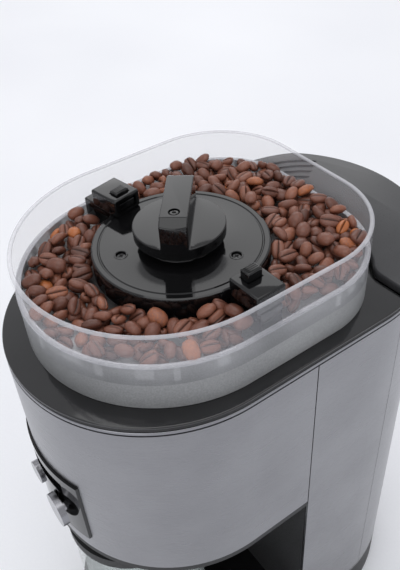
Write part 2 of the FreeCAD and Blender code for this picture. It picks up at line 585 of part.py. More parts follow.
def make_hopper():
    """The clear bean bowl, its seal, the burr cover, the knob and what turns with it."""
    foot = "(plate_top + hop_rise)"
    wall = cut(hopper_plan("0", foot, RIM), hopper_plan("hop_wall", f"{foot} - 1", f"{RIM} + 1"))
    neck_low = "(plate_top - 0.6)"
    sheet_body = revolved("funnel_sheet", [
        ("inlet_rad - inlet_wall", neck_low), ("inlet_rad", neck_low), ("inlet_rad", "plate_top + 3"),
        ("funnel_rad + 1.5", f"{LEDGE} - inlet_wall"), ("hop_half + 60", f"{LEDGE} - inlet_wall"),
        ("hop_half + 60", LEDGE), ("funnel_rad", LEDGE), ("inlet_rad - inlet_wall", "plate_top + 4.5")])
    funnel = common(sheet_body, hopper_plan("hop_wall / 2", f"{neck_low} - 1", RIM))
    keep(join(wall, funnel, label="hopper"))
    keep(tube("hopper_seal", "inlet_rad", "inlet_rad + 4", foot, f"{foot} + 2"))

    under = f"({COVER_TOP} - cover_thick)"
    cover = revolved("cover_disc", [
        ("spindle_rad + gap", under), ("cover_rad - cover_thick", under),
        ("cover_rad - cover_thick", f"{COVER_TOP} - cover_skirt"),
        ("cover_rad", f"{COVER_TOP} - cover_skirt"),
        ("cover_rad", f"{COVER_TOP} - 1"), ("cover_rad - 1", COVER_TOP),
        ("cover_rad - groove_in + 0.6", COVER_TOP), ("cover_rad - groove_in", f"{COVER_TOP} - 0.6"),
        ("cover_rad - groove_in - 0.6", COVER_TOP),
        ("knob_rad - 5", COVER_TOP), ("knob_rad - 5", f"{COVER_TOP} + knob_gap - gap"),
        ("spindle_rad + gap", f"{COVER_TOP} + knob_gap - gap")])
    legs, dimples, screws = [], [], []
    for step in range(3):
        angle = 90 + 120 * step
        lean = f"{math.cos(math.radians(angle)):.5f}"
        reach = f"{math.sin(math.radians(angle)):.5f}"
        at = "(cover_rad - cover_thick - 1)"
        legs.append(rod("2.5", "plate_top + 8", f"{under} + 1", f"{at} * {lean}",
                        f"axis_y + {at} * {reach}"))
    trim_legs = revolved("leg_trim", [
        ("inlet_rad", "plate_top - 2"), ("inlet_rad", "plate_top + 4.5"),
        ("inlet_rad - inlet_wall", "plate_top + 4.8"), ("funnel_rad", f"{LEDGE} + 0.3"),
        ("funnel_rad", f"{LEDGE} - 30")])
    for sign in ("+", "-"):
        angle = f"(knob_turn {sign} dimple_turn)"
        x, y = f"dimple_at * cos({angle} * 1deg)", f"axis_y + dimple_at * sin({angle} * 1deg)"
        dimples.append(rod("dimple_rad", f"{COVER_TOP} - 1.6", f"{COVER_TOP} + 1", x, y))
        dimples.append(rod("small_screw_rad", f"{COVER_TOP} - 9", f"{COVER_TOP} + 1", x, y))
        screws.append(join(rod("small_head_rad", f"{COVER_TOP} - 1.6", f"{COVER_TOP} - 0.5", x, y),
                           rod("small_screw_rad", f"{COVER_TOP} - 5", f"{COVER_TOP} - 1.2", x, y)))
    keep(cut(join(cover, *[cut(leg, trim_legs) for leg in legs]), *dimples, label="burr_cover"))
    keep(group(*screws, label="cover_screws"))

    low, disc_top = KNOB_LOW, f"({KNOB_LOW} + knob_tall)"
    disc = revolved("knob_disc", [
        ("0", low), ("knob_rad - 1", low), ("knob_rad", f"{low} + 0.8"), ("knob_rad", f"{disc_top} - 0.8"),
        ("knob_rad - 0.8", disc_top), ("0", disc_top)])
    top = f"({COVER_TOP} + bar_up)"
    handle = padded("knob_bar", "XZ_Plane", [
        ("-knob_rad", low), ("knob_rad", low), ("knob_rad", f"{top} - 3"), ("knob_rad - 5.4", top),
        ("-(knob_rad - 5.4)", top), ("-knob_rad", f"{top} - 3")], "bar_width", midplane=True)
    place(handle, y="axis_y")
    marker = rod("dimple_rad", f"{top} - 1.4", f"{top} + 1", x="marker_at")
    marker_hole = rod("small_screw_rad", f"{top} - 9", f"{top} + 1", x="marker_at")
    ends = common(handle, rod("knob_rad", low, f"{top} + 1"))
    whole = cut(join(disc, ends), marker, marker_hole, rod("spindle_rad", f"{low} - 1", f"{low} + 8"))
    screw = join(rod("small_head_rad", f"{top} - 1.4", f"{top} - 0.4", x="marker_at"),
                 rod("small_screw_rad", f"{top} - 6", f"{top} - 1.2", x="marker_at"))
    keep(turned(whole, "knob_turn", "adjusting_knob"))
    keep(turned(screw, "knob_turn", "knob_screw"))
    collar_low, collar_top = "(plate_top + 0.2)", "(plate_top + 4.2)"
    keep(rod("spindle_rad", collar_low, f"{low} + 8"), "adjusting_spindle")
    spokes = [box("-collar_rad + 2", "collar_rad - 2", "axis_y - 2", "axis_y + 2", collar_low, collar_top),
              box("-2", "2", "axis_y - collar_rad + 2", "axis_y + collar_rad - 2", collar_low, collar_top)]
    ring = cut(rod("collar_rad", collar_low, collar_top),
               rod("collar_rad - 5", f"{collar_low} - 1", f"{collar_top} + 1"))
    hub = rod("spindle_rad + 3", collar_low, collar_top)
    keep(cut(join(ring, hub, *spokes), rod("spindle_rad", f"{collar_low} - 1", f"{collar_top} + 1"),
             label="adjusting_collar"))


def make_latch(side, angle, inner, proud):
    """A hold-down latch and its push key, built along +X and turned into place; returns its rail."""
    low, top = f"({COVER_TOP} + gap)", f"({COVER_TOP} + gap + latch_tall)"
    half = "(latch_wide / 2)"
    outer = f"({inner} + latch_long)"
    block = padded(f"latch_block_{side}", "XZ_Plane", [
        (inner, low), (outer, low), (outer, f"{top} - 1.6"), (f"{outer} - 1.6", top),
        (f"{inner} + 0.8", top), (inner, f"{top} - 0.8")], "latch_wide", midplane=True)
    place(block, y="axis_y")
    window = box(f"{inner} - 1", f"{inner} + 1.8", f"axis_y - {half} + 3", f"axis_y + {half} - 3",
                 f"{low} + 2", f"{top} - 2")
    key_x, key_far = f"({inner} + 3)", f"({inner} + 3 + key_long)"
    pocket = box(f"{key_x} - gap", f"{key_far} + gap", "axis_y - key_wide / 2 - gap",
                 "axis_y + key_wide / 2 + gap", f"{low} + 2.2", f"{top} + 1")
    keep(turned(cut(block, window, pocket), angle, f"latch_{side}"))
    key_top = f"({top} + {proud})"
    key = padded(f"key_{side}", "XZ_Plane", [
        (key_x, f"{top} - 2.4"), (key_far, f"{top} - 2.4"), (key_far, f"{key_top} - 0.8"),
        (f"{key_far} - 0.8", key_top), (f"{key_x} + 0.8", key_top), (key_x, f"{key_top} - 0.8")],
        "key_wide", midplane=True)
    place(key, y="axis_y")
    keep(turned(key, angle, f"latch_button_{side}"))
    rail_end = "(hop_half - hop_wall - 2)"
    rail = box("cover_rad + 1", rail_end, f"axis_y - {half} + 2", f"axis_y + {half} - 2", LEDGE, COVER_TOP)
    ledge_trim = box("0", "funnel_rad - 6", f"axis_y - {half}", f"axis_y + {half}", f"{LEDGE} - 1",
                     f"{LEDGE} + 2")
    return turned(cut(rail, ledge_trim), angle)


def make_controls():
    """The curved control panel, what is pressed and turned on it, and the board behind it."""
    front, back = f"-{PANEL_FRONT}", f"(-{PANEL_FRONT} + 13)"
    top = "(panel_low + panel_tall)"
    row_z = "(panel_low + row_up)"
    face = rod("body_half + panel_out", "panel_low", top, y="-body_arc_y")
    block = common(face, box("-panel_half", "panel_half", front, back, "panel_low", top))
    into = Vector(0, 1, 0)
    button_hole = bar("button_rad + gap", "16", "button_at", f"{front} - 1", row_z, into)
    dial_hole = bar("dial_pin_rad + fit", "16", "dial_at", f"{front} - 1", row_z, into)
    glass_low, glass_top = f"{top} - 16", f"{top} - 6"
    window_hole = box("-window_half", "window_half", f"{front} - 1", f"{front} + 4", glass_low, glass_top)
    keep(cut(block, button_hole, dial_hole, window_hole, label="control_panel"))
    keep(box("-window_half", "window_half", f"{front} + 2.6", f"{front} + 4", glass_low, glass_top),
         "display_window")
    keep(bar("button_rad", "9", "button_at", f"{front} - 1.5", row_z, into), "start_button")
    dial = join(bar("dial_rad", f"{REAR_END} - {PANEL_FRONT} - gap", "dial_at", f"-{REAR_END}", row_z, into),
                bar("dial_pin_rad", "13", "dial_at", f"{front} - 1", row_z, into))
    keep(dial, "dose_dial")
    keep(box("-panel_half + 2", "panel_half - 2", f"{back} + 3", f"{back} + 4.6", "panel_low + 1",
             f"{top} - 1"), "control_board")


def make_jar():
    """The grounds jar under the outlet and its ring lid."""
    low, top = f"({BASE_TOP} + gap)", f"({BASE_TOP} + gap + jar_tall)"
    keep(revolved("grounds_jar", [
        ("0", low), ("jar_rad - 3", low), ("jar_rad", f"{low} + 3"), ("jar_rad", top),
        ("jar_rad - jar_wall", top), ("jar_rad - jar_wall", f"{low} + 4"), ("0", f"{low} + 4")],
        y="chute_y"))
    keep(revolved("jar_lid", [
        ("jar_mouth_rad", f"{top} + gap"), ("jar_rad + 1", f"{top} + gap"),
        ("jar_rad + 1", f"{top} + jar_lid_tall"),
        ("jar_mouth_rad", f"{top} + jar_lid_tall"), ("jar_mouth_rad", f"{top} + gap + 3")], y="chute_y"))


def inlet_back(back):
    """The solid rear wall of the inlet, which the blades stop against."""
    return box("-inlet_wide - 6", "0", f"{back} - 16", f"{back} - 12", "inlet_low", "inlet_low + inlet_tall")


def make_sockets():
    """The power inlet and the rocker switch, low on the rear shell."""
    rear, top = "(body_arc_y + body_half)", "(inlet_low + inlet_tall)"
    back = f"({rear} + 1)"
    x0, x1 = "(-inlet_wide - 5)", "(-5)"
    inlet = box(x0, x1, f"{back} - 16", back, "inlet_low", top)
    recess = box(f"{x0} + 3", f"{x1} - 3", f"{back} - 12", f"{back} + 1", "inlet_low + 4", f"{top} - 4")
    middle = f"(({x0} + {x1}) / 2)"
    blades = [box(f"{middle} + {step} - 1", f"{middle} + {step} + 1", f"{back} - 13", f"{back} - 3",
                  "inlet_low + 9", "inlet_low + 15") for step in (-7, 0, 7)]
    keep(cut(inlet, recess), "power_inlet")
    keep(group(*[cut(blade, inlet_back(back)) for blade in blades], label="inlet_blades"))
    bezel = cut(box("5", "5 + switch_wide", f"{back} - 12", back, "inlet_low", top),
                box("7", "3 + switch_wide", f"{back} - 13", f"{back} + 1", "inlet_low + 2", f"{top} - 2"))
    keep(bezel, "switch_bezel")
    rocker = padded("power_switch", "YZ_Plane", [
        (f"{back} - 9", "inlet_low + 4"), (f"{back} + 0.2", "inlet_low + 4"),
        (f"{back} - 1.8", "inlet_low + inlet_tall / 2"), (f"{back} + 0.2", f"{top} - 4"),
        (f"{back} - 9", f"{top} - 4")],
        "switch_wide - 4 - 2 * gap")
    keep(place(rocker, x="7 + gap"))


make_base()
make_casing()
make_frame()
make_gears()
make_gearbox()
make_chamber()
make_top()
make_hopper()
right_rail = make_latch("right", "right_turn", "(latch_inner + latch_travel)", "5.0")
left_rail = make_latch("left", "left_turn", "latch_inner", "1.8")
keep(group(right_rail, left_rail, label="latch_rails"))
make_controls()
make_jar()
make_sockets()
doc.recompute()

failed = [item.Label for item in doc.Objects if "Invalid" in item.State or "Error" in item.State]
failed += [piece.Label for piece in NODES if piece.Shape.isNull() or not piece.Shape.isValid()]
if failed:
    raise SystemExit(f"failed objects: {failed}")
for piece in NODES:
    solids = piece.Shape.Solids
    shape = solids[0] if len(solids) == 1 else Part.makeCompound(solids)
    shape.exportStep(f"parts/{piece.Label}.step")
    size = piece.Shape.BoundBox
    print(f"{piece.Label:22s} {len(solids)} solid(s) {piece.Shape.Volume / 1000:9.2f} cm3 "
          f"z {size.ZMin:.1f} to {size.ZMax:.1f}")
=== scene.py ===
"""Looks for the burr coffee grinder: shells, hopper, beans, knob, latches, finishes, light and camera."""

import json
import logging
import math
from dataclasses import dataclass
from enum import Enum
from typing import Iterable, Sequence

import bpy
import numpy as np
from mathutils import Euler, Matrix, Quaternion, Vector

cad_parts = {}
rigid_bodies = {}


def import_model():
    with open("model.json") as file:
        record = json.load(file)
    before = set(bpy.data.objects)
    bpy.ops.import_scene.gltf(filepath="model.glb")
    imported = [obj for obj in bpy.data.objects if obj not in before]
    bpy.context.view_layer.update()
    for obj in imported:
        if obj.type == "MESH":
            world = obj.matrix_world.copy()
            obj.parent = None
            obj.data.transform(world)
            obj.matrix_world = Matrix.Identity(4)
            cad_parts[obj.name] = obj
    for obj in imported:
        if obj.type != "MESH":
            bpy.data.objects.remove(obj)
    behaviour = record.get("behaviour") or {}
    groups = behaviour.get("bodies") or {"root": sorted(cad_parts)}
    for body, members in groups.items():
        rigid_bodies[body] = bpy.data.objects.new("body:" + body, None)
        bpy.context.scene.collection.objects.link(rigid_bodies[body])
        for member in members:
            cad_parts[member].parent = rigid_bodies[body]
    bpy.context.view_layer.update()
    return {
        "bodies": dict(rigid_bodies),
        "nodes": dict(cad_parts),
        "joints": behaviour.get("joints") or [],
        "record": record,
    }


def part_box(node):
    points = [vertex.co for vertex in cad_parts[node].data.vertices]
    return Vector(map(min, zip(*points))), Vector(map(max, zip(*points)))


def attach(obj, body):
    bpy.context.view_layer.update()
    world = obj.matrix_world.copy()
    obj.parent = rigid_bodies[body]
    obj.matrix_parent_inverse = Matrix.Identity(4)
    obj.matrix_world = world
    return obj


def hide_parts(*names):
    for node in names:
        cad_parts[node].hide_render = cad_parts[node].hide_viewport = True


log = logging.getLogger("burr_grinder")

MM = 0.001
Point = tuple[float, float]
Object = bpy.types.Object
Array = np.ndarray


# --- finishes


def linear(hex_colour: str) -> tuple[float, float, float, float]:
    """Turn an sRGB hex colour into Blender's linear colour."""
    parts = [int(hex_colour[i:i + 2], 16) / 255 for i in (1, 3, 5)]
    return (*[p / 12.92 if p <= 0.04045 else ((p + 0.055) / 1.055) ** 2.4 for p in parts], 1.0)


def add_node(tree: bpy.types.NodeTree, kind: str, settings: dict | None = None,
             inputs: dict | None = None) -> bpy.types.Node:
    """Add one node with its settings and links.

    Args:
        tree: the material's node tree.
        kind: the node's type name.
        settings: attributes set on the node.
        inputs: socket name or index to a value, or to an output socket that is linked in.

    Returns:
        The new node.
    """
    node = tree.nodes.new(kind)
    for name, value in (settings or {}).items():
        setattr(node, name, value)
    for name, value in (inputs or {}).items():
        if isinstance(value, bpy.types.NodeSocket):
            tree.links.new(value, node.inputs[name])
        else:
            node.inputs[name].default_value = value
    return node


def blank_material(name: str) -> tuple[bpy.types.Material, bpy.types.NodeTree, bpy.types.NodeSocket]:
    """A new material, its emptied node tree and its object coordinates."""
    made = bpy.data.materials.new(name)
    made.use_nodes = True
    tree = made.node_tree
    tree.nodes.clear()
    return made, tree, add_node(tree, "ShaderNodeTexCoord").outputs["Object"]


class Grain(Enum):
    """How a surface's fine marks lie."""

    EVEN = (1.0, 1.0, 1.0)
    ROUND_BODY = (0.012, 0.012, 1.0)


@dataclass(frozen=True)
class Finish:
    """One real material and how its surface was made.

    Args:
        name: the maker's words for it.
        dark, light: the two ends of its colour variation, sRGB hex.
        rough: mean roughness, with rough_span either side of it.
        grain_mm: size of the fine marks; bump_mm is their depth.
    """

    name: str
    dark: str
    light: str
    rough: float
    rough_span: float = 0.04
    metallic: float = 0.0
    ior: float = 1.5
    alpha: float = 1.0
    grain_mm: float = 0.6
    bump_mm: float = 0.01
    grain: Grain = Grain.EVEN
    coat: float = 0.0
    cloud_mm: float = 40.0

    def make(self) -> bpy.types.Material:
        """Build the material: slow colour clouds, fine grain in roughness and bump."""
        made, tree, place = blank_material(self.name)
        stretched = add_node(tree, "ShaderNodeMapping", inputs={"Vector": place, "Scale": self.grain.value})
        fine = add_node(tree, "ShaderNodeTexNoise", inputs={
            "Vector": stretched.outputs[0], "Scale": 1 / (self.grain_mm * MM), "Detail": 3.0})
        cloud = add_node(tree, "ShaderNodeTexNoise", inputs={
            "Vector": place, "Scale": 1 / (self.cloud_mm * MM), "Detail": 2.0})
        blend = add_node(tree, "ShaderNodeMath", {"operation": "MULTIPLY_ADD"},
                         {0: fine.outputs["Fac"], 1: 0.45, 2: cloud.outputs["Fac"]})
        tone = add_node(tree, "ShaderNodeMapRange", inputs={
            0: blend.outputs[0], 1: 0.45, 2: 1.0, 3: 0.0, 4: 1.0})
        colour = add_node(tree, "ShaderNodeMix", {"data_type": "RGBA"}, {
            0: tone.outputs[0], 6: linear(self.dark), 7: linear(self.light)})
        rough = add_node(tree, "ShaderNodeMapRange", inputs={
            0: fine.outputs["Fac"], 1: 0.3, 2: 0.7, 3: self.rough - self.rough_span,
            4: self.rough + self.rough_span})
        bump = add_node(tree, "ShaderNodeBump", inputs={
            "Height": fine.outputs["Fac"], "Distance": self.bump_mm * MM, "Strength": 1.0})
        shader = add_node(tree, "ShaderNodeBsdfPrincipled", inputs={
            "Base Color": colour.outputs[2], "Roughness": rough.outputs[0], "Normal": bump.outputs[0],
            "Metallic": self.metallic, "Alpha": self.alpha, "Coat Weight": self.coat, "Coat Roughness": 0.03})
        if self.metallic == 0.0:
            shader.inputs["IOR"].default_value = self.ior
        add_node(tree, "ShaderNodeOutputMaterial", inputs={"Surface": shader.outputs[0]})
        return made


# Polished ABS covers: very smooth moulded skin that mirrors the room, with faint flow clouds.
PIANO_ABS = Finish("piano_black_abs", "#0a0a0b", "#111112", 0.07, 0.02, grain_mm=1.2, bump_mm=0.002)
# Top plate: polished ABS a little worn by wiping, so its gloss is softer.
PLATE_ABS = Finish("wiped_black_plate", "#19191a", "#232324", 0.12, 0.04, grain_mm=0.9, bump_mm=0.003,
                   coat=0.3)
# Lid: satin moulded ABS that turns mid-grey under soft light.
LID_ABS = Finish("satin_black_lid", "#303032", "#3a3a3c", 0.32, 0.05, grain_mm=0.5, bump_mm=0.006)
# Fine spark-eroded mould texture on base, deck and inner mouldings.
TEXTURED_ABS = Finish("spark_textured_abs", "#161617", "#222223", 0.55, 0.08, grain_mm=0.7, bump_mm=0.03)
# Stainless sheet brushed round the body: fine horizontal lines draw the light out sideways.
BRUSHED_STAINLESS = Finish("brushed_stainless", "#8c8c8f", "#98989b", 0.30, 0.05, metallic=1.0,
                           grain_mm=0.3, bump_mm=0.0012, grain=Grain.ROUND_BODY)
# Rolled and buffed stainless strip.
BUFFED_STAINLESS = Finish("buffed_stainless_strip", "#88888c", "#9c9ca0", 0.20, 0.04, metallic=1.0,
                          grain_mm=0.3, bump_mm=0.002, grain=Grain.ROUND_BODY)
# Machined steel: turned marks, slightly oily.
MACHINED_STEEL = Finish("machined_steel", "#77777a", "#9a9a9d", 0.33, 0.08, metallic=1.0, grain_mm=0.4,
                        bump_mm=0.01)
# Zinc-plated steel sheet of the chassis.
PLATED_STEEL = Finish("zinc_plated_steel", "#8f9088", "#b3b3ab", 0.4, 0.1, metallic=1.0, grain_mm=1.5,
                      bump_mm=0.01)
# Die-cast aluminium housings.
CAST_ALUMINIUM = Finish("die_cast_aluminium", "#9a9b9c", "#b6b7b8", 0.45, 0.1, metallic=1.0, grain_mm=0.8,
                        bump_mm=0.03)
# Sintered bronze bushes and brass blades.
BRASS = Finish("turned_brass", "#a98238", "#c99d4c", 0.28, 0.06, metallic=1.0, grain_mm=0.4, bump_mm=0.005)
# Moulded nitrile rubber, matte and dusty.
RUBBER = Finish("nitrile_rubber", "#171716", "#252524", 0.78, 0.08, grain_mm=0.5, bump_mm=0.03)
# Fibreglass board under green solder mask.
BOARD = Finish("solder_mask_board", "#0d3b20", "#14502d", 0.35, 0.06, grain_mm=0.8, bump_mm=0.01)
# Moulded SAN, clear with a faint milky veil where the wall is seen face on.
CLEAR_SAN = Finish("clear_san", "#e4e4ea", "#f0f0f5", 0.06, 0.02, ior=1.57, alpha=0.12, grain_mm=3.0,
                   bump_mm=0.004)
# The hopper's rim and step: thicker section and rounded edges catch the light, so they look white.
SAN_EDGE = Finish("clear_san_edge", "#c4c4ca", "#dcdce2", 0.12, 0.03, ior=1.57, alpha=0.55, grain_mm=3.0,
                  bump_mm=0.004)
# The hopper's skirt: the inside of the mould is blasted, so it is grey, grainy and half opaque.
FROSTED_SAN = Finish("frosted_san_skirt", "#646566", "#a4a5a6", 0.5, 0.1, ior=1.57, alpha=0.95, grain_mm=0.9,
                     bump_mm=0.06, cloud_mm=120.0)
# The skirt's upper band: the blasting fades out, so ribs show through it.
HAZY_SAN = Finish("hazy_san_band", "#8a8b8d", "#b4b5b8", 0.4, 0.08, ior=1.57, alpha=0.66, grain_mm=0.8,
                  bump_mm=0.02)
# Thick moulded ribs, where the same plastic turns almost white.
RIB_SAN = Finish("moulded_rib_san", "#dcdcde", "#efeff1", 0.35, 0.05, ior=1.57, grain_mm=1.0, bump_mm=0.01)
# The bowl's floor, seen pale and blurred through the skirt.
BOWL_SAN = Finish("bowl_floor_san", "#c9c9cb", "#dededf", 0.25, 0.06, ior=1.57, alpha=0.85, grain_mm=1.5,
                  bump_mm=0.01)
# Pressed soda glass of the jar.
JAR_GLASS = Finish("soda_glass", "#dfe8e6", "#eef4f3", 0.03, 0.01, ior=1.52, alpha=0.24, grain_mm=4.0,
                   bump_mm=0.004)
SMOKED = Finish("smoked_acrylic", "#08080a", "#101013", 0.05, 0.02, ior=1.49, grain_mm=2.0, bump_mm=0.001,
                coat=0.5)


@dataclass(frozen=True)
class RoastedBean:
    """Medium roasted coffee: satin oily skin, mottled brown, each bean with a tone of its own."""

    name: str = "roasted_coffee"
    deep: str = "#48291f"
    mid: str = "#714739"
    bright: str = "#b0683c"
    warm: str = "#8d5a46"
    # Painted shade: the dark brown laid into each bean's groove, where shade falls.
    crease_shade: str = "#2a150e"
    fleck_mm: float = 1.1

    def make(self) -> bpy.types.Material:
        """Build the material from each bean's own tone and its painted groove shade."""
        made, tree, place = blank_material(self.name)
        own = add_node(tree, "ShaderNodeAttribute", {"attribute_name": "bean_tone_and_shade"})
        split = add_node(tree, "ShaderNodeSeparateColor", inputs={0: own.outputs["Color"]})
        fleck = add_node(tree, "ShaderNodeTexNoise", inputs={
            "Vector": place, "Scale": 1 / (self.fleck_mm * MM), "Detail": 4.0})
        level = add_node(tree, "ShaderNodeMath", {"operation": "MULTIPLY_ADD"},
                         {0: fleck.outputs["Fac"], 1: 0.35, 2: split.outputs[0]})
        ramp = add_node(tree, "ShaderNodeValToRGB", inputs={0: level.outputs[0]})
        stops = ramp.color_ramp.elements
        stops[0].position, stops[0].color = 0.12, linear(self.deep)
        stops[1].position, stops[1].color = 1.22 / 1.35, linear(self.bright)
        for spot, tone in ((0.5, self.mid), (0.76, self.warm)):
            stops.new(spot).color = linear(tone)
        # Painted shade: the second channel mixes the colour towards that dark brown along the groove and at
        # the tips.
        colour = add_node(tree, "ShaderNodeMix", {"data_type": "RGBA"}, {
            0: split.outputs[1], 6: ramp.outputs[0], 7: linear(self.crease_shade)})
        bump = add_node(tree, "ShaderNodeBump", inputs={
            "Height": fleck.outputs["Fac"], "Distance": 0.12 * MM, "Strength": 0.7})
        rough = add_node(tree, "ShaderNodeMapRange", inputs={
            0: fleck.outputs["Fac"], 1: 0.3, 2: 0.7, 3: 0.28, 4: 0.46})
        shader = add_node(tree, "ShaderNodeBsdfPrincipled", inputs={
            "Base Color": colour.outputs[2], "Roughness": rough.outputs[0], "Normal": bump.outputs[0],
            "Specular IOR Level": 0.45})
        add_node(tree, "ShaderNodeOutputMaterial", inputs={"Surface": shader.outputs[0]})
        return made


_made: dict[str, bpy.types.Material] = {}


def material(finish: Finish | RoastedBean) -> bpy.types.Material:
    """The finish's material, built once."""
    if finish.name not in _made:
        _made[finish.name] = finish.make()
    return _made[finish.name]


# --- modelling by operators


def deselect() -> None:
    """Leave edit mode and clear the selection."""
    if bpy.context.object and bpy.context.object.mode != "OBJECT":
        bpy.ops.object.mode_set(mode="OBJECT")
    bpy.ops.object.select_all(action="DESELECT")


def pick(piece: Object) -> Object:
    """Make one piece the active and only selected object."""
    deselect()
    piece.select_set(True)
    bpy.context.view_layer.objects.active = piece
    return piece


def placed(name: str, data: bpy.types.ID) -> Object:
    """A new object that holds the data, linked into the scene."""
    made = bpy.data.objects.new(name, data)
    bpy.context.scene.collection.objects.link(made)
    return made


def open_mesh(piece: Object) -> None:
    """Enter edit mode on a piece with its whole mesh selected."""
    pick(piece)
    bpy.ops.object.mode_set(mode="EDIT")
    bpy.ops.mesh.select_all(action="SELECT")


def close_mesh() -> None:
    """Leave edit mode."""
    bpy.ops.object.mode_set(mode="OBJECT")


def settle(piece: Object, name: str) -> Object:
    """Name a piece and put its place into its mesh."""
    pick(piece)
    bpy.ops.object.transform_apply(location=True, rotation=True, scale=True)
    piece.name = name
    return piece


def apply_modifier(piece: Object, kind: str, **settings: object) -> None:
    """Add a modifier with its settings and apply it."""
    pick(piece)
    made = piece.modifiers.new(kind.lower(), kind)
    for name, value in settings.items():
        setattr(made, name, value)
    bpy.ops.object.modifier_apply(modifier=made.name)


def smooth(piece: Object, angle: float = 32.0) -> None:
    """Shade smooth except across sharp edges."""
    pick(piece)
    bpy.ops.object.shade_smooth_by_angle(angle=math.radians(angle))


def bevel(piece: Object, width: float, segments: int = 3, angle: float = 50.0) -> None:
    """Round the piece's sharp edges by a width in millimetres."""
    apply_modifier(piece, "BEVEL", width=width * MM, segments=segments, limit_method="ANGLE",
                   angle_limit=math.radians(angle), use_clamp_overlap=True, harden_normals=False)


def carve(piece: Object, tools: Iterable[Object], operation: str = "DIFFERENCE") -> None:
    """Cut tools from the piece, or join them to it, and remove the tools."""
    for tool in tools:
        apply_modifier(piece, "BOOLEAN", operation=operation, object=tool, solver="EXACT")
        bpy.data.objects.remove(tool, do_unlink=True)


def loop_object(name: str, points: Sequence[Point], height: float) -> Object:
    """A closed loop of edges at one height in millimetres, active and alone in the selection."""
    mesh = bpy.data.meshes.new(name)
    count = len(points)
    mesh.from_pydata([(x * MM, y * MM, height * MM) for x, y in points],
                     [(i, (i + 1) % count) for i in range(count)], [])
    return pick(placed(name, mesh))


def fix_normals(piece: Object) -> None:
    """Merge doubles and turn every face outwards."""
    open_mesh(piece)
    bpy.ops.mesh.remove_doubles(threshold=0.00001)
    bpy.ops.mesh.normals_make_consistent(inside=False)
    close_mesh()


def slab(name: str, points: Sequence[Point], low: float, high: float) -> Object:
    """A flat-topped solid on an outline: fill the loop, then extrude it up."""
    piece = loop_object(name, points, low)
    open_mesh(piece)
    bpy.ops.mesh.edge_face_add()
    bpy.ops.mesh.extrude_region_move(TRANSFORM_OT_translate={"value": (0, 0, (high - low) * MM)})
    close_mesh()
    fix_normals(piece)
    return piece


def shell_wall(name: str, points: Sequence[Point], inner: Sequence[Point], low: float,
               high: float) -> Object:
    """An upright ring between two outlines with the same number of points."""
    piece = loop_object(name, points, low)
    loop_object(f"{name}_inner", inner, low)
    piece.select_set(True)
    bpy.context.view_layer.objects.active = piece
    bpy.ops.object.join()
    bpy.ops.object.mode_set(mode="EDIT")
    bpy.ops.mesh.select_all(action="SELECT")
    bpy.ops.mesh.bridge_edge_loops()
    bpy.ops.mesh.select_all(action="SELECT")
    bpy.ops.mesh.extrude_region_move(TRANSFORM_OT_translate={"value": (0, 0, (high - low) * MM)})
    close_mesh()
    fix_normals(piece)
    return piece


def turned_piece(name: str, profile: Sequence[Point], centre: Point, steps: int = 96) -> Object:
    """Spin a half section, as (radius, height) in millimetres, about an upright axis."""
    mesh = bpy.data.meshes.new(name)
    count = len(profile)
    closed = profile[0][0] > 0.001 and profile[-1][0] > 0.001
    edges = [(i, i + 1) for i in range(count - 1)] + ([(count - 1, 0)] if closed else [])
    mesh.from_pydata([((centre[0] + r) * MM, centre[1] * MM, z * MM) for r, z in profile], edges, [])
    piece = placed(name, mesh)
    open_mesh(piece)
    bpy.ops.mesh.spin(steps=steps, angle=2 * math.pi, center=(centre[0] * MM, centre[1] * MM, 0),
                      axis=(0, 0, 1))
    close_mesh()
    fix_normals(piece)
    return piece


def shave(piece: Object, planes: Iterable[tuple[Sequence[float], Sequence[float]]]) -> None:
    """Cut away what lies beyond each plane, given as a point in millimetres and a normal."""
    pick(piece)
    bpy.ops.object.mode_set(mode="EDIT")
    for spot, normal in planes:
        bpy.ops.mesh.select_all(action="SELECT")
        bpy.ops.mesh.bisect(plane_co=[v * MM for v in spot], plane_no=Vector(normal).normalized(),
                            use_fill=True, clear_outer=True)
    close_mesh()
    fix_normals(piece)


def block(name: str, low: Sequence[float], high: Sequence[float]) -> Object:
    """A box between two corners in millimetres, to be cut, bevelled or cut with."""
    deselect()
    middle = [(a + b) / 2 * MM for a, b in zip(low, high)]
    bpy.ops.mesh.primitive_cube_add(size=1, location=middle)
    piece = bpy.context.object
    piece.scale = [(b - a) * MM for a, b in zip(low, high)]
    return settle(piece, name)


def drum(name: str, radius: float, low: float, high: float, centre: Point,
         steps: int = 48) -> Object:
    """An upright cylinder in millimetres, to be cut, bevelled or cut with."""
    deselect()
    bpy.ops.mesh.primitive_cylinder_add(vertices=steps, radius=radius * MM, depth=(high - low) * MM,
                                        location=(centre[0] * MM, centre[1] * MM, (low + high) / 2 * MM))
    return settle(bpy.context.object, name)


def turn_about(piece: Object, centre: Point, degrees: float) -> None:
    """Turn a piece's mesh about an upright axis."""
    spot = Matrix.Translation((centre[0] * MM, centre[1] * MM, 0))
    piece.data.transform(spot @ Matrix.Rotation(math.radians(degrees), 4, "Z") @ spot.inverted())


def dress(piece: Object, finish: Finish | RoastedBean, body: str, slot: str | None,
          *nodes: str) -> Object:
    """Give a finished piece its material, its body and the nodes it stands for."""
    if not piece.data.materials:
        piece.data.materials.append(material(finish))
    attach(piece, body)
    if nodes:
        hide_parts(*nodes)
    log.info("%s: %d faces on %s", piece.name, len(piece.data.polygons), body)
    return piece


def arc(centre: Point, radius: float, start: float, end: float, steps: int) -> list[Point]:
    """Points along an arc, degrees anticlockwise from +X, without the last one."""
    return [(centre[0] + radius * math.cos(math.radians(start + (end - start) * i / steps)),
             centre[1] + radius * math.sin(math.radians(start + (end - start) * i / steps)))
            for i in range(steps)]


# --- shared plan


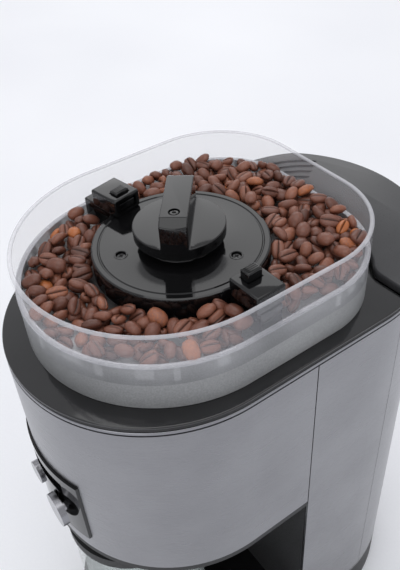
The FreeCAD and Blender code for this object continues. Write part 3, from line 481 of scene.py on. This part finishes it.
@dataclass(frozen=True)
class Plan:
    """The body's and the hopper's outlines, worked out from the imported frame."""

    half: float
    arc_y: float
    burr_y: float
    plate_top: float
    hop_half: float = 73.7
    hop_front_y: float = -37.8
    corner_rad: float = 49.0
    corner_x: float = 24.7
    corner_y: float = 15.7
    rear_seam_y: float = 58.7

    @classmethod
    def from_frame(cls) -> "Plan":
        """Read the body's half width, length, burr axis and plate level from the CAD nodes."""
        low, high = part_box("trim_band")
        cover_low, cover_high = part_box("burr_nut")
        plate_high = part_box("top_plate")[1]
        half = high[0] / MM
        return cls(half=half, arc_y=high[1] / MM - half,
                   burr_y=(cover_low[1] + cover_high[1]) / 2 / MM, plate_top=plate_high[2] / MM)

    def stadium(self, inset: float = 0.0, steps: int = 64) -> list[Point]:
        """The body's outline: half rounds front and rear, straight between."""
        radius = self.half - inset
        return (arc((0, self.arc_y), radius, 0, 180, steps) + [(-radius, self.arc_y)]
                + arc((0, -self.arc_y), radius, 180, 360, steps) + [(radius, -self.arc_y)])

    def hopper(self, inset: float = 0.0, steps: int = 32) -> list[Point]:
        """The hopper's outline: round front, straight sides, two large rear corners."""
        front, side = self.hop_half - inset, self.corner_rad - inset
        right, left = (self.corner_x, self.corner_y), (-self.corner_x, self.corner_y)
        return (arc(right, side, 0, 90, steps) + [(self.corner_x, self.corner_y + side)]
                + arc(left, side, 90, 180, steps) + [(-front, self.corner_y)]
                + arc((0, self.hop_front_y), front, 180, 360, 2 * steps) + [(front, self.hop_front_y)])

    def seam(self, side: float, shrink: float) -> list[Point]:
        """Half of the wavy seam between plate and lid, from the middle out to one side."""
        big, small = 30.0 + shrink, 12.0 - shrink
        centre = (30.0, 41.0)
        meet = 47.0
        turn = (centre[0] + (big + small) * math.cos(math.radians(meet)),
                centre[1] + (big + small) * math.sin(math.radians(meet)))
        run = arc(centre, big, 90, meet, 10) + arc(turn, small, 180 + meet, 270, 8)
        run.append((turn[0], turn[1] - small))
        run.append((self.half + 4, turn[1] - small + 1.0))
        return [(x * side, y) for x, y in run]

    def behind_seam(self, shrink: float) -> list[Point]:
        """The region behind the wavy seam, a little wider than the body."""
        far = self.arc_y + self.half + 4
        right = self.seam(1.0, shrink)
        left = self.seam(-1.0, shrink)
        return left[::-1] + right + [(self.half + 4, far), (-self.half - 4, far)]


# --- sub-assemblies


@dataclass
class TopDeck:
    """Gloss plate, buffed strip and the hinged lid behind the wavy seam."""

    plan: Plan
    plate_thick: float = 1.6
    edge_round: float = 0.7
    lid_gap: float = 1.2
    lid_low: float = 3.0
    lid_high: float = 12.0
    lid_wall: float = 2.5
    lid_crest: float = 24.0
    groove_count: int = 4
    groove_wide: float = 2.5
    groove_from: float = 8.5
    groove_pitch: float = 5.2
    strip_tall: float = 2.0
    strip_inset: float = 0.15
    # Inset of the black band painted as the shade in the gap under the plate.
    gap_shade_inset: float = 0.6
    neck_rad: float = 39.2
    knuckle_rad: float = 2.6
    knuckle_half: float = 13.6
    pin_bore: float = 1.25

    def plate(self) -> None:
        """The gloss plate with its hopper neck hole and rolled edge."""
        top, low = self.plan.plate_top, self.plan.plate_top - self.plate_thick
        piece = slab("gloss_top_plate", self.plan.stadium(), low, top)
        carve(piece, [slab("cut_lid", self.plan.behind_seam(0), low - 1, top + 1),
                      drum("cut_neck", self.neck_rad, low - 1, top + 1, (0, self.plan.burr_y), 96)])
        bevel(piece, self.edge_round, 3)
        smooth(piece)
        lip = shell_wall("plate_lip", self.plan.stadium(2.9), self.plan.stadium(5.2), low - 4, low)
        carve(lip, [slab("cut_lip", self.plan.behind_seam(-3), low - 5, low + 1)])
        smooth(lip)
        dress(piece, PLATE_ABS, "housing", "plate_black", "top_plate")
        dress(lip, TEXTURED_ABS, "housing", "plate_black")

    def strip(self) -> None:
        """The buffed steel strip under the plate, with a black band above it painted as the shade in the gap
        under the plate.
        """
        low, high = (corner[2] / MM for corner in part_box("trim_band"))
        middle = low + self.strip_tall
        # The upper band is painted shade: a black ring that stands for the dark gap between the plate and the
        # steel strip.
        for name, z0, z1, finish in (("buffed_trim_strip", low, middle, BUFFED_STAINLESS),
                                     ("plate_gap_shade", middle, high, TEXTURED_ABS)):
            inset = self.strip_inset if z0 == low else self.gap_shade_inset
            piece = shell_wall(name, self.plan.stadium(inset), self.plan.stadium(self.lid_wall), z0, z1)
            bevel(piece, 0.5, 3)
            smooth(piece)
            dress(piece, finish, "housing", "polished_steel", *(["trim_band"] if z0 == low else []))

    def wedge(self, name: str, inset: float, drop: float, low: float) -> Object:
        """The lid's wedge form: behind the seam, sloping up to a level crest."""
        top = self.plan.plate_top + self.lid_high - drop
        piece = slab(name, self.plan.stadium(inset), low, top + 6)
        carve(piece, [slab("cut_behind", self.plan.behind_seam(self.lid_gap + inset), low - 1, top + 9)],
              "INTERSECT")
        rear = self.plan.arc_y + self.plan.half
        start_y, start_z = self.plan.rear_seam_y - 2, self.plan.plate_top + self.lid_low - drop
        run, rise = rear - self.lid_crest - start_y, top - start_z
        shave(piece, (((0, 0, top), (0, 0, 1)), ((0, start_y, start_z), (0, -rise, run))))
        return piece

    def lid(self) -> None:
        """The lid: a thin wedge shell with grip grooves, a link and a knuckle."""
        low = self.plan.plate_top - self.plate_thick
        piece = self.wedge("rear_lid_cover", 0.0, 0.0, low)
        bevel(piece, 2.2, 4)
        hollow = self.wedge("cut_hollow", self.lid_wall, self.lid_wall, low - 1)
        carve(piece, [hollow])
        grooves = []
        for step in range(self.groove_count):
            centre = (0, self.plan.arc_y)
            reach = self.plan.half - (self.groove_from + self.groove_pitch * step)
            outer = arc(centre, reach, 122, 158 - 2 * step, 20)
            inner = arc(centre, reach - self.groove_wide, 158 - 2 * step, 122, 20)
            height = self.plan.plate_top + self.lid_high
            groove = slab("cut_groove", outer + inner, height - 4.5, height + 2)
            slope = (height - (self.plan.plate_top + self.lid_low)) / (
                self.plan.arc_y + self.plan.half - self.lid_crest - self.plan.rear_seam_y + 2)
            for vertex in groove.data.vertices:
                back = self.plan.arc_y + self.plan.half - self.lid_crest - vertex.co.y / MM
                level = height - max(back, 0) * slope
                vertex.co.z = (level - 1.2) * MM if vertex.co.z < height * MM else (level + 3) * MM
            grooves.append(groove)
        carve(piece, grooves)
        smooth(piece, 30)
        dress(piece, LID_ABS, "lid", "lid_black", "rear_lid")
        self.knuckle()

    def knuckle(self) -> None:
        """The lid's link and hinge knuckle, turned over the fixed pin."""
        pin_low, pin_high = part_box("lid_hinge_pin")
        y, z = (pin_low[1] + pin_high[1]) / 2 / MM, (pin_low[2] + pin_high[2]) / 2 / MM
        half, lying = self.knuckle_half, Matrix.Rotation(math.pi / 2, 4, "Y")
        barrel = drum("lid_knuckle", self.knuckle_rad, -half, half, (0, 0), 40)
        bevel(barrel, 0.3, 2)
        barrel.data.transform(Matrix.Translation((0, y * MM, z * MM)) @ lying)
        link = block("link", (-half, self.plan.arc_y + self.plan.half - 3.2, self.plan.plate_top - 1.6),
                     (half, y, z + self.knuckle_rad))
        bevel(link, 0.3, 2)
        carve(barrel, [link], "UNION")
        bore = drum("bore", self.pin_bore, -15, 15, (0, 0), 32)
        bore.data.transform(Matrix.Translation((0, y * MM, z * MM)) @ lying)
        carve(barrel, [bore])
        smooth(barrel)
        dress(barrel, LID_ABS, "lid", "lid_black")

    def build(self) -> None:
        """Build plate, strip and lid."""
        self.plate()
        self.strip()
        self.lid()


@dataclass
class Hopper:
    """The clear bean bowl: clear upper wall, white rim and step, frosted skirt, pale funnel."""

    plan: Plan
    wall: float = 2.3
    rim: float = 345.2
    step: float = 326.8
    haze: float = 315.5
    ledge: float = 320.0
    rib_count: int = 26
    foot: float = 300.3
    inlet_rad: float = 38.2
    inlet_wall: float = 2.2
    funnel_rad: float = 68.0
    neck_low: float = 303.0
    neck_high: float = 304.5
    past_wall: float = 120.0

    def upper_wall(self) -> None:
        """The clear wall, with its thick rim seen whiter than the rest."""
        piece = shell_wall("hopper_clear_wall", self.plan.hopper(), self.plan.hopper(self.wall), self.step,
                           self.rim)
        bevel(piece, 0.8, 4)
        smooth(piece)
        piece.data.materials.append(material(CLEAR_SAN))
        piece.data.materials.append(material(SAN_EDGE))
        limit = (self.rim - 1.0) * MM
        for face in piece.data.polygons:
            face.material_index = 1 if face.center.z > limit else 0
        dress(piece, CLEAR_SAN, "bean_hopper", "clear_plastic", "hopper")

    def skirt(self) -> None:
        """The frosted skirt, its hazier upper band and the step line above them."""
        bands = (("hopper_frosted_skirt", self.foot, self.haze, FROSTED_SAN),
                 ("hopper_hazy_band", self.haze, self.step - 0.8, HAZY_SAN))
        for name, low, high, finish in bands:
            band = shell_wall(name, self.plan.hopper(0.25), self.plan.hopper(self.wall), low, high)
            smooth(band)
            dress(band, finish, "bean_hopper", "clear_plastic")
        step = shell_wall("hopper_step_line", self.plan.hopper(), self.plan.hopper(self.wall + 0.6),
                          self.step - 0.8, self.step)
        bevel(step, 0.25, 2)
        smooth(step)
        dress(step, SAN_EDGE, "bean_hopper", "clear_plastic")

    def funnel(self) -> None:
        """The sloping floor down to the inlet neck."""
        low, inner, under = self.foot - 0.9, self.inlet_rad - self.inlet_wall, self.ledge - self.inlet_wall
        profile = [(inner, low), (self.inlet_rad, low), (self.inlet_rad, self.neck_low),
                   (self.funnel_rad + 1.5, under), (self.past_wall, under), (self.past_wall, self.ledge),
                   (self.funnel_rad, self.ledge), (inner, self.neck_high)]
        piece = turned_piece("hopper_funnel", profile, (0, self.plan.burr_y), 120)
        carve(piece, [slab("cut_plan", self.plan.hopper(self.wall + 0.02), low - 1, self.rim)], "INTERSECT")
        smooth(piece)
        dress(piece, BOWL_SAN, "bean_hopper", "clear_plastic")

    def ribs(self) -> None:
        """Pale upright ribs of several widths inside the hazy band."""
        outline = self.plan.hopper(0, 16)
        forms = ((1.6, 8.5), (3.0, 6.0), (1.2, 9.5), (5.2, 4.5), (2.0, 8.0), (4.2, 6.5))
        for number in range(self.rib_count):
            index = number * len(outline) // self.rib_count
            (x0, y0), (x1, y1) = outline[index - 1], outline[(index + 1) % len(outline)]
            x, y = outline[index]
            half, drop = forms[number % len(forms)]
            rib = block(f"hopper_rib_{number + 1}", (-2.2, -half, self.step - 1.2 - drop),
                        (-0.7, half, self.step - 1.2))
            bevel(rib, 0.4, 2)
            rib.data.transform(Matrix.Translation((x * MM, y * MM, 0))
                               @ Matrix.Rotation(math.atan2(x0 - x1, y1 - y0), 4, "Z"))
            smooth(rib)
            dress(rib, RIB_SAN, "bean_hopper", "clear_plastic")

    def build(self) -> None:
        """Build wall, skirt, ribs and funnel."""
        self.upper_wall()
        self.skirt()
        self.ribs()
        self.funnel()


@dataclass
class BurrCover:
    """The gloss black disc over the burrs, with its ring line, two screw dimples and a short skirt."""

    plan: Plan
    top: float = 334.5
    radius: float = 46.0
    thick: float = 3.0
    skirt: float = 12.0
    groove: float = 42.0
    hub: float = 18.6
    hub_rise: float = 4.0
    bore: float = 4.3
    dimple_rad: float = 2.9
    pilot_rad: float = 1.25
    leg_at: float = 42.0
    leg_rad: float = 2.4
    leg_low: float = 309.4

    def build(self) -> None:
        """Spin the disc, drill it and stand it on three legs."""
        top, low = self.top, self.top - self.thick
        edge, foot, ring = self.radius, top - self.skirt, self.groove
        profile = [(self.bore, low), (edge - self.thick, low), (edge - self.thick, foot), (edge, foot),
                   (edge, top - 1.3), (edge - 0.35, top - 0.45), (edge - 1.1, top), (ring + 0.7, top),
                   (ring + 0.2, top - 0.5), (ring - 0.2, top - 0.5), (ring - 0.7, top), (self.hub + 1.2, top),
                   (self.hub + 0.3, top + 0.3), (self.hub, top + 1.0), (self.hub, top + self.hub_rise),
                   (self.bore, top + self.hub_rise)]
        centre = (0.0, self.plan.burr_y)
        piece = turned_piece("burr_cover_disc", profile, centre, 128)
        tools = []
        for x, y in self.dimples():
            tools += [drum("cut_dimple", self.dimple_rad, top - 1.6, top + 1, (x, y), 40),
                      drum("cut_pilot", self.pilot_rad, top - 9, top - 1, (x, y), 24)]
        carve(piece, tools)
        smooth(piece, 28)
        dress(piece, PIANO_ABS, "bean_hopper", "gloss_black", "burr_cover")
        for step in range(3):
            angle = math.radians(90 + 120 * step)
            leg = drum(f"cover_leg_{step + 1}", self.leg_rad, self.leg_low, low, (
                self.leg_at * math.cos(angle), self.plan.burr_y + self.leg_at * math.sin(angle)), 24)
            bevel(leg, 0.3, 2)
            smooth(leg)
            dress(leg, PIANO_ABS, "bean_hopper", "gloss_black")
        for number, (x, y) in enumerate(self.dimples(), start=1):
            lip = turned_piece(f"dimple_lip_{number}", [
                (self.dimple_rad, top - 0.5), (3.5, top + 0.02), (3.2, top + 0.28),
                (2.7, top + 0.2)], (x, y), 40)
            smooth(lip)
            dress(lip, PIANO_ABS, "bean_hopper", "gloss_black")
            cross = drum(f"cover_screw_{number}", 2.2, top - 1.55, top - 0.5, (x, y), 36)
            carve(cross, [block("slot_a", (x - 1.4, y - 0.3, top - 1.1), (x + 1.4, y + 0.3, top)),
                          block("slot_b", (x - 0.3, y - 1.4, top - 1.1), (x + 0.3, y + 1.4, top))])
            bevel(cross, 0.15, 2, 40)
            smooth(cross)
            dress(cross, PIANO_ABS, "bean_hopper", "steel_parts", *(["cover_screws"] if number == 1 else []))

    def dimples(self) -> list[Point]:
        """The middles of the two dimples."""
        low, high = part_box("cover_screws")
        reach = 2.3
        return [(low[0] / MM + reach, low[1] / MM + reach), (high[0] / MM - reach, high[1] / MM - reach)]


@dataclass
class Knob:
    """The adjusting knob: a disc with a tall bar handle across it, faired into the rim."""

    plan: Plan
    radius: float = 23.6
    low: float = 338.8
    disc_tall: float = 6.8
    top: float = 361.0
    bar_width: float = 13.6
    turn: float = -39.6
    marker_at: float = 13.6
    chamfer_run: float = 5.4
    chamfer_drop: float = 3.0

    def build(self) -> None:
        """Spin the disc, raise the bar from it, chamfer its ends and round every edge."""
        centre = (0.0, self.plan.burr_y)
        y = self.plan.burr_y
        disc_top = self.low + self.disc_tall
        disc = turned_piece("adjusting_knob_body", [
            (0, self.low), (self.radius - 0.9, self.low), (self.radius, self.low + 0.8),
            (self.radius, disc_top), (0, disc_top)], centre, 96)
        half = self.bar_width / 2
        bar = block("bar", (-self.radius - 1, y - half, self.low + 2), (self.radius + 1, y + half, self.top))
        rim = drum("rim", self.radius, self.low, self.top + 1, centre, 96)
        carve(bar, [rim], "INTERSECT")
        shave(bar, [((side * (self.radius - self.chamfer_run), y, self.top),
                     (side * self.chamfer_drop, 0, self.chamfer_run)) for side in (1, -1)])
        carve(disc, [bar], "UNION")
        fix_normals(disc)
        bevel(disc, 0.75, 4, 28)
        spot = (self.marker_at, y)
        carve(disc, [drum("cut_marker", 2.9, self.top - 1.4, self.top + 1, spot, 40),
                     drum("cut_pilot", 1.25, self.top - 9, self.top - 1, spot, 24)])
        smooth(disc, 30)
        turn_about(disc, centre, self.turn)
        dress(disc, PIANO_ABS, "knob", "gloss_black", "adjusting_knob")
        screw = drum("knob_marker_screw", 2.1, self.top - 1.35, self.top - 0.4, spot, 36)
        carve(screw, [drum("cut_socket", 1.0, self.top - 1.0, self.top, spot, 6)])
        bevel(screw, 0.15, 2, 40)
        smooth(screw)
        turn_about(screw, centre, self.turn)
        dress(screw, PIANO_ABS, "knob", "steel_parts", "knob_screw")


@dataclass
class Latch:
    """One hold-down latch: rail, hollow block with cheeks and tab, and a ribbed push key."""

    plan: Plan
    side: str
    turn: float
    inner: float
    proud: float
    long: float = 20.0
    wide: float = 17.0
    tall: float = 10.0
    low: float = 334.8
    rail_from: float = 47.0
    rail_to: float = 69.2
    rail_low: float = 320.1
    rail_high: float = 334.4

    def build(self) -> None:
        """Model along +X from the burr axis, then turn each piece into its place."""
        y, top, outer = self.plan.burr_y, self.low + self.tall, self.inner + self.long
        half = self.wide / 2
        body = block(f"latch_block_{self.side}", (self.inner, y - half, self.low), (outer, y + half, top))
        bevel(body, 1.1, 4)
        key_low, key_high = self.inner + 3, self.inner + 9
        carve(body, [
            block("cut_window", (self.inner - 1, y - half + 2.6, self.low + 1.8),
                  (self.inner + 1.8, y + half - 2.6, top - 2)),
            block("cut_under", (self.inner + 12, y - half + 2, self.low - 1),
                  (outer - 2, y + half - 2, self.low + 6)),
            block("cut_key", (key_low - 0.3, y - 4.6, self.low + 2.2), (key_high + 0.3, y + 4.6, top + 1))])
        smooth(body, 30)
        tab = block(f"latch_tab_{self.side}", (self.inner + 0.5, y - half + 3.4, self.low + 2.8),
                    (self.inner + 1.75, y + half - 3.4, top - 3.6))
        bevel(tab, 0.4, 3)
        smooth(tab)
        key_top = top + self.proud
        key = block(f"latch_key_{self.side}", (key_low, y - 4.3, top - 2.4), (key_high, y + 4.3, key_top))
        bevel(key, 0.9, 4)
        ribs = [block("cut_rib", (key_low + 0.9 + 1.2 * i, y - 3.4, key_top - 0.35),
                      (key_low + 1.4 + 1.2 * i, y + 3.4, key_top + 1)) for i in range(4)]
        carve(key, ribs)
        smooth(key, 30)
        rail = block(f"latch_rail_{self.side}", (self.rail_from, y - half + 2, self.rail_low),
                     (self.rail_to, y + half - 2, self.rail_high))
        carve(rail, [block("cut_arch", (50, y - half, 319), (60, y + half, 329))])
        bevel(rail, 0.5, 3)
        smooth(rail)
        for piece in (body, tab, key, rail):
            turn_about(piece, (0.0, y), self.turn)
        dress(body, PIANO_ABS, f"{self.side}_latch", "gloss_black", f"latch_{self.side}")
        dress(tab, PIANO_ABS, f"{self.side}_latch", "gloss_black")
        dress(key, PIANO_ABS, f"{self.side}_key", "gloss_black", f"latch_button_{self.side}")
        stands_for = ["latch_rails"] if self.side == "left" else []
        dress(rail, PIANO_ABS, "bean_hopper", "gloss_black", *stands_for)


@dataclass
class BeanFill:
    """Roasted beans dropped one by one into the hopper, each the lowest of several tries."""

    plan: Plan
    seed: int = 41
    count: int = 5200
    tries: int = 18
    length: float = 10.1
    width: float = 7.4
    height: float = 5.4
    depth: float = 13.0
    wall: float = 2.3
    wall_clear: float = 3.1
    cover_rad: float = 46.6
    latches: tuple[Point, ...] = ((2.0, 47.0), (191.0, 37.0))
    latch_end: float = 74.0
    latch_half: float = 10.2

    def signed_wall(self, x: Array, y: Array) -> Array:
        """Distance inside the hopper's inner wall, in millimetres, negative outside."""
        plan = self.plan
        front = plan.hop_half - self.wall - np.hypot(x, np.minimum(y - plan.hop_front_y, 0))
        over_x = np.maximum(np.abs(x) - plan.corner_x, 0)
        over_y = np.maximum(y - plan.corner_y, 0)
        rear = plan.corner_rad - self.wall - np.hypot(over_x, over_y)
        side = plan.hop_half - self.wall - np.abs(x)
        return np.where(y < plan.corner_y, np.minimum(front, side), np.minimum(rear, side))

    def level(self, x: Array, y: Array) -> Array:
        """How high the beans lie: low at the front and along the left wall, heaped towards the rear."""
        heap = np.clip((y + 92) / 72, 0, 1)
        slump = np.clip((-x - 30) / 35, 0, 1) * np.clip((np.hypot(x, y - self.plan.burr_y) - 52) / 14, 0, 1)
        return 328.6 + 5.7 * heap - 1.8 * slump + 0.6 * np.sin(x / 9.0) * np.cos(y / 11.0)

    def floor(self, x: Array, y: Array) -> Array:
        """The funnel's surface, or a hidden level a few layers down."""
        around = np.hypot(x, y - self.plan.burr_y)
        funnel = np.clip(304.5 + (around - 36) / 32 * 15.5, 304.5, 320.0)
        return np.maximum(funnel, self.level(x, y) - self.depth)

    def blocked(self, x: Array, y: Array) -> Array:
        """Whether a spot is under the cover, too near the wall or inside a latch rail."""
        around = np.hypot(x, y - self.plan.burr_y)
        bad = (around < self.cover_rad + 2.6) | (self.signed_wall(x, y) < self.wall_clear)
        for turn, inner in self.latches:
            c, s = math.cos(math.radians(turn)), math.sin(math.radians(turn))
            out, across = x * c + (y - self.plan.burr_y) * s, -x * s + (y - self.plan.burr_y) * c
            bad |= (out > inner - 2) & (out < self.latch_end) & (np.abs(across) < self.latch_half)
        return bad

    def drop(self) -> list[tuple[float, float, float, float, float]]:
        """Where each bean comes to rest, as (x, y, z, heading, tilt)."""
        rng = np.random.default_rng(self.seed)
        reach, ball = 2.2, 2.95
        touch = 2 * ball * 0.86
        balls = np.zeros((0, 3))
        rests: list[tuple[float, float, float, float, float]] = []
        for _ in range(self.count):
            x = rng.uniform(-72, 72, self.tries)
            y = rng.uniform(-110, 64, self.tries)
            heading = rng.uniform(0, 2 * math.pi, self.tries)
            ends = [(x + k * reach * np.cos(heading), y + k * reach * np.sin(heading))
                    for k in (-1.0, 0.0, 1.0)]
            good = ~np.logical_or.reduce([self.blocked(ex, ey) for ex, ey in ends])
            if not good.any():
                continue
            rest = np.array([self.floor(ex, ey) + ball for ex, ey in ends])
            if len(balls):
                for row, (ex, ey) in enumerate(ends):
                    gap = np.hypot(ex[:, None] - balls[:, 0], ey[:, None] - balls[:, 1])
                    rise = np.sqrt(np.maximum(touch ** 2 - gap ** 2, 0))
                    lift = np.where(gap < touch, balls[:, 2] + rise, 0)
                    rest[row] = np.maximum(rest[row], lift.max(axis=1))
            slope = np.clip((rest[2] - rest[0]) / (2 * reach), -0.85, 0.85)
            middle = np.maximum(rest[1], (rest[0] + rest[2]) / 2)
            spare = self.level(x, y) - middle - ball - 0.6 * reach * np.abs(slope)
            best = int(np.argmax(np.where(good, spare, -np.inf)))
            if spare[best] < -1.3:
                continue
            spot = np.array([[ex[best], ey[best], middle[best] + k * reach * slope[best]]
                             for k, (ex, ey) in zip((-1.0, 0.0, 1.0), ends)])
            balls = np.vstack([balls, spot])
            rests.append((float(x[best]), float(y[best]), float(middle[best]), float(heading[best]),
                          math.atan(float(slope[best]))))
        return rests

    def one_bean(self) -> tuple[Array, list[tuple[int, ...]], Array]:
        """One bean about its middle: domed back, flatter face with a groove along it.

        Returns:
            Its points in millimetres, its faces, and how much painted shade each point takes, full in the
            groove.
        """
        rings = (-0.86, -0.5, 0.0, 0.5, 0.86)
        around = (270, 284, 318, 356, 38, 90, 142, 184, 222, 256)
        points, crease_shade = [(-self.length / 2, 0.0, 0.2)], [0.25]
        for along in rings:
            girth = math.sqrt(1 - along ** 2) ** 0.82
            for degrees in around:
                c, s = math.cos(math.radians(degrees)), math.sin(math.radians(degrees))
                up = s * self.height * (0.62 if s > 0 else 0.34)
                inside = degrees == 270
                points.append((along * self.length / 2, c * self.width / 2 * girth,
                               (up + (0.95 if inside else 0.0)) * girth))
                crease_shade.append(1.0 if inside else 0.0)
        points.append((self.length / 2, 0.0, 0.2))
        crease_shade.append(0.25)
        count, faces = len(around), []
        for step in range(count):
            after = (step + 1) % count
            faces.append((0, 1 + after, 1 + step))
            for ring in range(len(rings) - 1):
                a, b = 1 + ring * count, 1 + (ring + 1) * count
                faces.append((a + step, a + after, b + after, b + step))
            last = 1 + (len(rings) - 1) * count
            faces.append((last + step, last + after, len(points) - 1))
        return np.array(points), faces, np.array(crease_shade)

    def build(self) -> None:
        """Set the beans down and join them in one piece with a tone for each bean."""
        rng = np.random.default_rng(self.seed + 1)
        shape, faces, crease_shade = self.one_bean()
        verts: list[Array] = []
        tones_and_shade: list[Array] = []
        polys: list[tuple[int, ...]] = []
        for number, (x, y, z, heading, tilt) in enumerate(self.drop()):
            roll = rng.choice([0.0, math.pi], p=[0.5, 0.5]) + rng.normal(0, 0.55)
            turn = Euler((roll, rng.normal(0, 0.08) - tilt, heading), "XYZ").to_matrix()
            size = rng.normal(1.0, 0.07) * np.array([1.0, rng.normal(1.0, 0.06), rng.normal(1.0, 0.05)])
            local = (shape * size) @ np.array(turn).T
            verts.append((local + np.array([x, y, z])) * MM)
            tone = float(np.clip(rng.normal(0.37, 0.13), 0.08, 0.68)) if rng.random() > 0.012 else 0.98
            # The second channel is painted groove shade: full along the groove, a quarter at the tips.
            tones_and_shade.append(np.stack([np.full(len(shape), tone), crease_shade * 0.85], axis=1))
            base = number * len(shape)
            polys += [tuple(base + i for i in face) for face in faces]
        mesh = bpy.data.meshes.new("coffee_beans")
        mesh.from_pydata(np.concatenate(verts).tolist(), [], polys)
        layer = mesh.color_attributes.new("bean_tone_and_shade", "FLOAT_COLOR", "POINT")
        flat = np.concatenate(tones_and_shade)
        colours = np.ones((len(flat), 4))
        colours[:, :2] = flat
        colours[:, 2] = 0.0
        layer.data.foreach_set("color", colours.ravel())
        piece = placed("coffee_beans", mesh)
        open_mesh(piece)
        bpy.ops.mesh.normals_make_consistent(inside=False)
        close_mesh()
        smooth(piece, 65)
        dress(piece, RoastedBean(), "bean_hopper", None)


# --- carried-over nodes


@dataclass
class FrameDress:
    """Finishes for the CAD nodes that are shown as they are."""

    frame: dict
    finishes: tuple[tuple[Finish, str], ...] = (
        (TEXTURED_ABS, "base_pan head_floor bay_wall chute sweeper burr_carrier rear_compartment "
                       "adjusting_collar jar_lid power_inlet switch_bezel"),
        (PIANO_ABS, "base_deck control_panel power_switch"),
        (RUBBER, "rubber_feet shaft_seal hopper_seal"),
        (MACHINED_STEEL, "base_screws motor_rotor output_gear idler_gear gearbox_screws idler_pin "
                         "drive_shaft cone_burr burr_nut ring_burr lid_hinge_pin adjusting_spindle"),
        (BRUSHED_STAINLESS, "side_panel_left side_panel_right rear_shell head_shell"),
        (PLATED_STEEL, "column_frame motor_can"),
        (BRASS, "motor_pinion bearing_lower bearing_upper inlet_blades"),
        (CAST_ALUMINIUM, "gearbox_case gearbox_cover grinding_chamber"),
        (SMOKED, "display_window"),
        (BUFFED_STAINLESS, "start_button dose_dial"),
        (BOARD, "control_board"),
        (JAR_GLASS, "grounds_jar"))

    def build(self) -> None:
        """Assign each finish to its node's own material slots."""
        for finish, names in self.finishes:
            for name in names.split():
                for place in self.frame["nodes"][name].material_slots:
                    place.material = material(finish)


# --- stage


@dataclass
class Stage:
    """Pale floor, soft studio light and the camera."""

    lens: float = 44.36
    camera_at: tuple[float, float, float] = (244.7, -174.1, 548.7)
    azimuth: float = 57.06
    elevation: float = 40.61
    roll: float = -4.07

    def floor(self) -> None:
        """A wide pale sweep."""
        deselect()
        bpy.ops.mesh.primitive_plane_add(size=14, location=(0, 0, -0.0005))
        piece = bpy.context.object
        piece.name = "pale_floor"
        paper = Finish("matte_paper_floor", "#eff0f4", "#f7f8fb", 0.75, 0.03, grain_mm=2.0, bump_mm=0.002,
                       cloud_mm=400.0)
        piece.data.materials.append(material(paper))

    def softbox(self, name: str, place: Sequence[float], aim: Sequence[float], size: Sequence[float],
                power: float) -> None:
        """A rectangular soft light aimed at a point; places in metres."""
        lamp = bpy.data.lights.new(name, "AREA")
        lamp.shape, lamp.size, lamp.size_y, lamp.energy = "RECTANGLE", size[0], size[1], power
        piece = placed(name, lamp)
        piece.location = place
        piece.rotation_euler = (Vector(aim) - Vector(place)).to_track_quat("-Z", "Y").to_euler()

    def world(self) -> None:
        """A bright plain room."""
        world = bpy.data.worlds.new("studio")
        world.use_nodes = True
        world.node_tree.nodes["Background"].inputs["Color"].default_value = linear("#f6f7fb")
        world.node_tree.nodes["Background"].inputs["Strength"].default_value = 0.72
        bpy.context.scene.world = world
        bpy.context.scene.view_settings.view_transform = "Standard"

    def camera(self) -> None:
        """The camera at the object's viewing angle, slightly rolled."""
        data = bpy.data.cameras.new("camera")
        data.lens, data.sensor_width, data.sensor_fit = self.lens, 36.0, "AUTO"
        data.dof.use_dof = False
        camera = placed("camera", data)
        a, e = math.radians(self.azimuth), math.radians(self.elevation)
        aim = Vector((-math.sin(a) * math.cos(e), math.cos(a) * math.cos(e), -math.sin(e)))
        camera.location = [v * MM for v in self.camera_at]
        camera.rotation_mode = "QUATERNION"
        rolled = Quaternion((0, 0, 1), math.radians(self.roll))
        camera.rotation_quaternion = aim.to_track_quat("-Z", "Y") @ rolled
        bpy.context.scene.camera = camera

    def build(self) -> None:
        """Set the stage."""
        self.world()
        self.floor()
        self.softbox("rear_left_box", (-1.5, 1.0, 1.35), (0, 0, 0.3), (1.6, 1.2), 7)
        self.softbox("overhead_box", (0.1, -0.1, 2.2), (0, 0, 0.3), (1.8, 1.8), 13)
        self.softbox("front_box", (1.2, -1.9, 1.0), (0, 0, 0.25), (1.2, 1.0), 6)
        self.camera()


def main() -> None:
    """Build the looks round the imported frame."""
    logging.basicConfig(level=logging.INFO)
    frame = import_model()
    deselect()
    plan = Plan.from_frame()
    Stage().build()
    FrameDress(frame).build()
    TopDeck(plan).build()
    Hopper(plan).build()
    BurrCover(plan).build()
    Knob(plan).build()
    Latch(plan, "right", 2.0, 49.0, 5.0).build()
    Latch(plan, "left", 191.0, 39.0, 1.8).build()
    BeanFill(plan).build()
    deselect()


if __name__ == "__main__":
    main()
